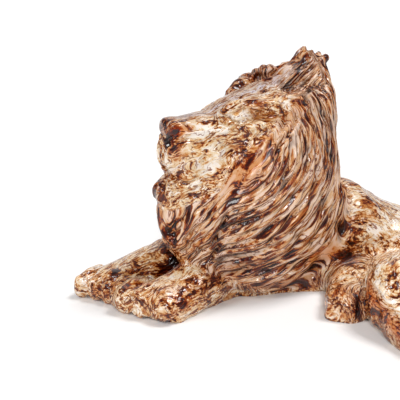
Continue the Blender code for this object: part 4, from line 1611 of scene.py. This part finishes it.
@dataclass
class Lion:
    """The whole lion as one skin, with its relief, its flow attributes and its clay.

    Args:
        mass_voxel: grid that melts the large masses, in millimetres.
        mass_rubs: how often the melted masses are rubbed down.
        skin_voxel: grid of the finished skin, in millimetres.
        skin_rubs: how often it is rubbed down before the work.
        triangles: faces left at the end.
        lock_height: height of the broad locks of the mane.
        lock_size: distance between two locks, and their length.
        strand_height: height of the strands on them.
        strand_size: distance between two strands, and their length.
        strand_shift: how far the strands' places are moved, so that none starts with a lock.
        light: how light the clay is off the mane, and how much lighter on it.
        warm: how orange the clay is off the mane, and how much more so on it.
        painted_relief_shading: painted light and shade on the tool's marks: how much lighter the
            clay is painted for each millimetre that the tool raises, and darker where it presses in.
        head: the head's measures.
        marks: the tool's marks.
    """

    mass_voxel: float = 2.6
    mass_rubs: int = 8
    skin_voxel: float = 1.05
    skin_rubs: int = 4
    triangles: int = 196000
    lock_height: float = 3.0
    lock_size: tuple[float, float] = (11.0, 70.0)
    strand_height: float = 3.3
    strand_size: tuple[float, float] = (4.2, 44.0)
    strand_shift: float = 3.7
    light: tuple[float, float] = (-0.004, 0.03)
    warm: tuple[float, float] = (0.07, 0.36)
    painted_relief_shading: float = 0.03
    head: HeadFrame = field(default_factory=HeadFrame)
    marks: Marks = field(default_factory=Marks)

    def skin(self) -> Form:
        """Melt the masses into one skin, and the details onto it.

        Returns:
            The closed skin.
        """
        mane, head, legs = Mane(self.head), Head(self.head), Legs()
        masses = Trunk().forms() + mane.masses() + head.masses() + legs.masses()
        body = melt("masses", masses, self.mass_voxel, self.mass_rubs)
        details = mane.details() + head.details() + legs.toes()
        return melt("skin", [body] + details, self.skin_voxel, self.skin_rubs)

    def layers(self, points: Array, comb: Comb) -> tuple[Array, Array]:
        """Return the height and tone of the locks, and those of the strands on them."""
        locks = comb.relief(points, *self.lock_size)
        return locks, comb.relief(points + self.strand_shift, *self.strand_size)

    def work(self, points: Array, normals: Array, comb: Comb) -> Array:
        """Lay the locks, the strands, the tool's marks and the handling on the skin.

        Locks and strands rise square to the skin, by their height less its middle value.  The
        strands are stronger on the crest and the handling is weaker on the mane.

        Args:
            points: places on the skin.
            normals: outward unit vectors.
            comb: the flow of the locks.

        Returns:
            The moved places.
        """
        mask = mane_mask(self.head, points)
        (locks, _), (strands, _) = self.layers(points, comb)
        marks, moved = self.tooling(points)
        rise = self.lock_height * (locks - 1.0) * mask
        strands = self.strand_height * (strands - 0.9) * (1 + 0.3 * comb.on_crest(points))
        rise += strands * self.strand_mask(points)
        rise += marks + self.handling(points) * (1 - 0.6 * mask)
        return points + normals * rise[:, None] + moved

    def strand_mask(self, points: Array) -> Array:
        """Work out how much the strands show: less by the cheek, on the right ruff and the crest's end.

        Args:
            points: places, one row each.

        Returns:
            The strands' share at each point.
        """
        ruff = fade(points[:, 2], 198, 206) * fade(points[:, 0], -18, -32)
        end = fade(points[:, 2], 220, 228) * fade(points[:, 1], 112, 119)
        return mane_mask(self.head, points, 18.0) * (1 - 0.85 * np.maximum(ruff, end))

    def tooling(self, points: Array) -> tuple[Array, Array]:
        """Add up the tool's marks.

        Args:
            points: places, one row each.

        Returns:
            How far the marks raise each point, and the push of those with a direction of their own.
        """
        rise, moved = np.zeros(len(points)), np.zeros_like(points)
        for stroke in self.marks.face + self.marks.mane + self.marks.limbs:
            for path in stroke.paths(self.head):
                touched, height = stroke.mark(points, path)
                if stroke.push is None:
                    rise[touched] += height
                else:
                    moved[touched] += height[:, None] * np.array(stroke.push)
        return rise, moved

    def handling(self, points: Array) -> Array:
        """Work out the slight unevenness that hands leave.

        It is a sum of 14 slanting sine waves, 11 to 34 mm long and 0.22 mm high.

        Args:
            points: places, one row each.

        Returns:
            The rise at each point in millimetres.
        """
        waves = np.random.default_rng(7)
        rise = np.zeros(len(points))
        for _ in range(14):
            way = waves.normal(size=3)
            way *= 2 * math.pi / (waves.uniform(11, 34) * np.linalg.norm(way))
            rise += np.sin(points @ way + waves.uniform(0, 6.28))
        return 0.22 * rise

    def build(self) -> bpy.types.Object:
        """Build the piece, standing on the frame's origin.

        The worked skin is rubbed over once, cut flat, thinned and dressed with what the clay reads.

        Returns:
            The finished piece.
        """
        comb = Comb()
        skin = self.skin()
        obj = new_mesh("lion_marbled", skin.points, skin.faces)
        points, faces, normals = read_mesh(obj.data)
        points = self.work(points, normals, comb)
        obj.data.vertices.foreach_set("co", (points * MM).astype(np.float32).ravel())
        obj.data.update()
        rub = obj.modifiers.new("rub", "SMOOTH")
        rub.factor, rub.iterations = 0.5, 1
        settle(obj)
        self.cut_flat(obj)
        obj.data.calc_loop_triangles()
        thin = obj.modifiers.new("thin", "DECIMATE")
        thin.ratio = min(1.0, self.triangles / len(obj.data.loop_triangles))
        thin.use_collapse_triangulate = True
        settle(obj)
        self.dress(obj, comb)
        obj.data.transform(Matrix.Translation((-DESIGN_MIDDLE[0] * MM, -DESIGN_MIDDLE[1] * MM, 0)))
        obj.data.shade_smooth()
        return obj

    def cut_flat(self, obj: bpy.types.Object) -> None:
        """Cut off what lies below the ground and close the cut.

        Args:
            obj: the piece.
        """
        shape = bmesh.new()
        shape.from_mesh(obj.data)
        cut = bmesh.ops.bisect_plane(
            shape, geom=shape.verts[:] + shape.edges[:] + shape.faces[:],
            plane_co=(0, 0, 0), plane_no=(0, 0, -1), clear_outer=True, dist=1e-6)
        edges = [edge for edge in cut["geom_cut"] if isinstance(edge, bmesh.types.BMEdge)]
        bmesh.ops.holes_fill(shape, edges=edges, sides=0)
        bmesh.ops.triangulate(shape, faces=[face for face in shape.faces if len(face.verts) > 3])
        shape.to_mesh(obj.data)
        shape.free()

    def dress(self, obj: bpy.types.Object, comb: Comb) -> None:
        """Store what the clay reads at each point.

        comb is the place along and across the locks, grain the place along and across the limbs,
        swirl how strongly the clay is folded there, tone how light, orange and lilac it is, and
        place the share of the mane, how deep a crevice is and how light its strand is.  A crevice
        counts the depth below the strands by 0.7 and below the locks by 0.3, and a strand's
        lightness is 0.75 its own and 0.25 its lock's.

        Args:
            obj: the piece.
            comb: the flow of the locks.
        """
        points, _, normals = read_mesh(obj.data)
        across, along, _ = comb.chart(points)
        over = comb.on_crest(points)[:, None]
        crest_across, crest_along = comb.crest_chart(points)
        beside = points[:, 0] * 0.35
        flow = np.stack((along, across, beside), axis=1)
        crest = np.stack((crest_along, crest_across, beside), axis=1)
        mane = mane_mask(self.head, points)
        (locks, broad), (strands, shade) = self.layers(points, comb)
        crevice = 0.7 * (1.15 - strands) * self.strand_mask(points) + 0.3 * (1.1 - locks)
        shade = 0.75 * shade + 0.25 * broad
        write_attribute(obj.data, "comb", (1 - over) * flow + over * crest)
        grain = self.grain(points)
        write_attribute(obj.data, "grain", grain[:, :3])
        write_attribute(obj.data, "swirl", grain[:, 3])
        write_attribute(obj.data, "tone", self.tone(points, mane))
        write_attribute(obj.data, "place", np.stack((mane, crevice * mane, (shade - 0.5) * mane), axis=1))

    def grain(self, points: Array) -> Array:
        """Measure along, beside and above the nearest limbs.

        Limbs blend with the weight exp(-7 d), d being the distance over a limb's radius.

        Args:
            points: places, one row each.

        Returns:
            Rows of along, beside, above and swirl.
        """
        total, weights = np.zeros((len(points), 4)), np.zeros((len(points), 1))
        for limb in LIMBS:
            rows, distance = limb.chart(points)
            weight = np.exp(-7 * distance)[:, None]
            total[:, :3] += rows * weight
            total[:, 3:] += limb.swirl * weight
            weights += weight
        return total / weights

    def tone(self, points: Array, mane: Array) -> Array:
        """Work out how light, how orange and how lilac the clay is.

        Args:
            points: places, one row each.
            mane: the mane's share at each point.

        Returns:
            Rows of light, orange and lilac.
        """
        tone = np.zeros_like(points)
        marks, _ = self.tooling(points)
        # Painted light and shade: what the tool raises is painted lighter, and what it presses in darker.
        tone[:, 0] = self.light[1] * mane + self.light[0] + np.clip(self.painted_relief_shading * marks, -0.12, 0.07)
        tone[:, 1] = self.warm[0] + self.warm[1] * mane
        for patch in PATCHES:
            tone += patch.weight(points)[:, None] * np.array((patch.light, patch.warm, patch.lilac_clay_and_sheen))
        return tone


def write_attribute(mesh: bpy.types.Mesh, name: str, values: Array) -> None:
    """Store one value or a row of three for each point of a mesh.

    Args:
        mesh: the mesh.
        name: the attribute's name.
        values: one value or one row for each point.
    """
    kind, key = ("FLOAT", "value") if values.ndim == 1 else ("FLOAT_VECTOR", "vector")
    layer = mesh.attributes.new(name, kind, "POINT")
    layer.data.foreach_set(key, values.astype(np.float32).ravel())


@dataclass
class Studio:
    """A white table and soft light, with the camera at the photograph's angle.

    Args:
        azimuth: degrees round from the lion's front.
        elevation: degrees above the table.
        distance: metres from the camera to the point it looks at.
        target: design point that the camera looks at, in millimetres.
        lens: focal length in millimetres on a 36 mm sensor.
        table_reach: half width of the table, in metres.
        sky: strength of the white light from all round.
        lights: name, azimuth, elevation, spread and strength of each soft light.
    """

    azimuth: float = 68.0
    elevation: float = 18.0
    distance: float = 1.1
    target: tuple[float, float, float] = (0.0, 0.0, 97.5)
    lens: float = 99.0
    table_reach: float = 12.0
    sky: float = 0.26
    lights: tuple[tuple[str, float, float, float, float], ...] = (
        ("softbox_key", 168.0, 66.0, 20.0, 1.7),
        ("softbox_left", 10.0, 40.0, 20.0, 1.0),
        ("softbox_front", 72.0, 32.0, 10.0, 1.0),
        ("bounce_back", 248.0, 24.0, 60.0, 0.5),
    )

    def aim(self, azimuth: float, elevation: float) -> Vector:
        """Return the unit vector from the lion towards a direction round it."""
        a, e = math.radians(azimuth), math.radians(elevation)
        return Vector((math.sin(a) * math.cos(e), -math.cos(a) * math.cos(e), math.sin(e)))

    def look_at(self) -> Vector:
        """Return the camera's target in the frame, in metres."""
        x, y, z = self.target
        return Vector((x - DESIGN_MIDDLE[0], y - DESIGN_MIDDLE[1], z)) * MM

    def camera(self) -> None:
        """Add the camera."""
        data = bpy.data.cameras.new("camera")
        data.sensor_width, data.lens = 36.0, self.lens
        camera = bpy.data.objects.new("camera", data)
        bpy.context.scene.collection.objects.link(camera)
        back = self.aim(self.azimuth, self.elevation)
        camera.location = self.look_at() + back * self.distance
        camera.rotation_mode = "QUATERNION"
        camera.rotation_quaternion = (-back).to_track_quat("-Z", "Y")
        bpy.context.scene.camera = camera

    def light(self, name: str, azimuth: float, elevation: float, spread: float, strength: float) -> None:
        """Add a broad soft light from far away.

        Args:
            name: the light's name.
            azimuth: where it stands, as for the camera.
            elevation: degrees above the table.
            spread: how wide it looks from the lion, in degrees.
            strength: its power in watts per square metre.
        """
        data = bpy.data.lights.new(name, "SUN")
        data.angle, data.energy = math.radians(spread), strength
        lamp = bpy.data.objects.new(name, data)
        bpy.context.scene.collection.objects.link(lamp)
        towards = self.aim(azimuth, elevation)
        lamp.location = towards * 1.6
        lamp.rotation_mode = "QUATERNION"
        lamp.rotation_quaternion = (-towards).to_track_quat("-Z", "Y")

    def table(self) -> None:
        """Add the white table."""
        mesh = bpy.data.meshes.new("table")
        corners = [(x * self.table_reach, y * self.table_reach, 0.0)
                   for x, y in ((-1, -1), (1, -1), (1, 1), (-1, 1))]
        mesh.from_pydata(corners, [], [(0, 1, 2, 3)])
        mesh.materials.append(MattPaint().material())
        table = bpy.data.objects.new("table", mesh)
        bpy.context.scene.collection.objects.link(table)

    def build(self) -> None:
        """Set up the table, the lights, the sky and the camera."""
        world = bpy.data.worlds.new("white_tent")
        world.use_nodes = True
        sky = world.node_tree.nodes["Background"]
        sky.inputs["Color"].default_value = (1.0, 1.0, 1.0, 1.0)
        sky.inputs["Strength"].default_value = self.sky
        bpy.context.scene.world = world
        self.table()
        for light in self.lights:
            self.light(*light)
        self.camera()
        bpy.context.scene.view_settings.view_transform = "Standard"


def main() -> None:
    """Build the lion and its studio."""
    logging.basicConfig(level=logging.INFO, format="%(name)s: %(message)s")
    piece = Lion().build()
    piece.data.materials.clear()
    piece.data.materials.append(MarbledClay().material())
    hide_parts(Piece.NODE.value)
    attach(piece, Piece.BODY.value)
    LOG.info("%s: %d triangles", piece.name, len(piece.data.polygons))
    Studio().build()


if __name__ == "__main__":
    main()
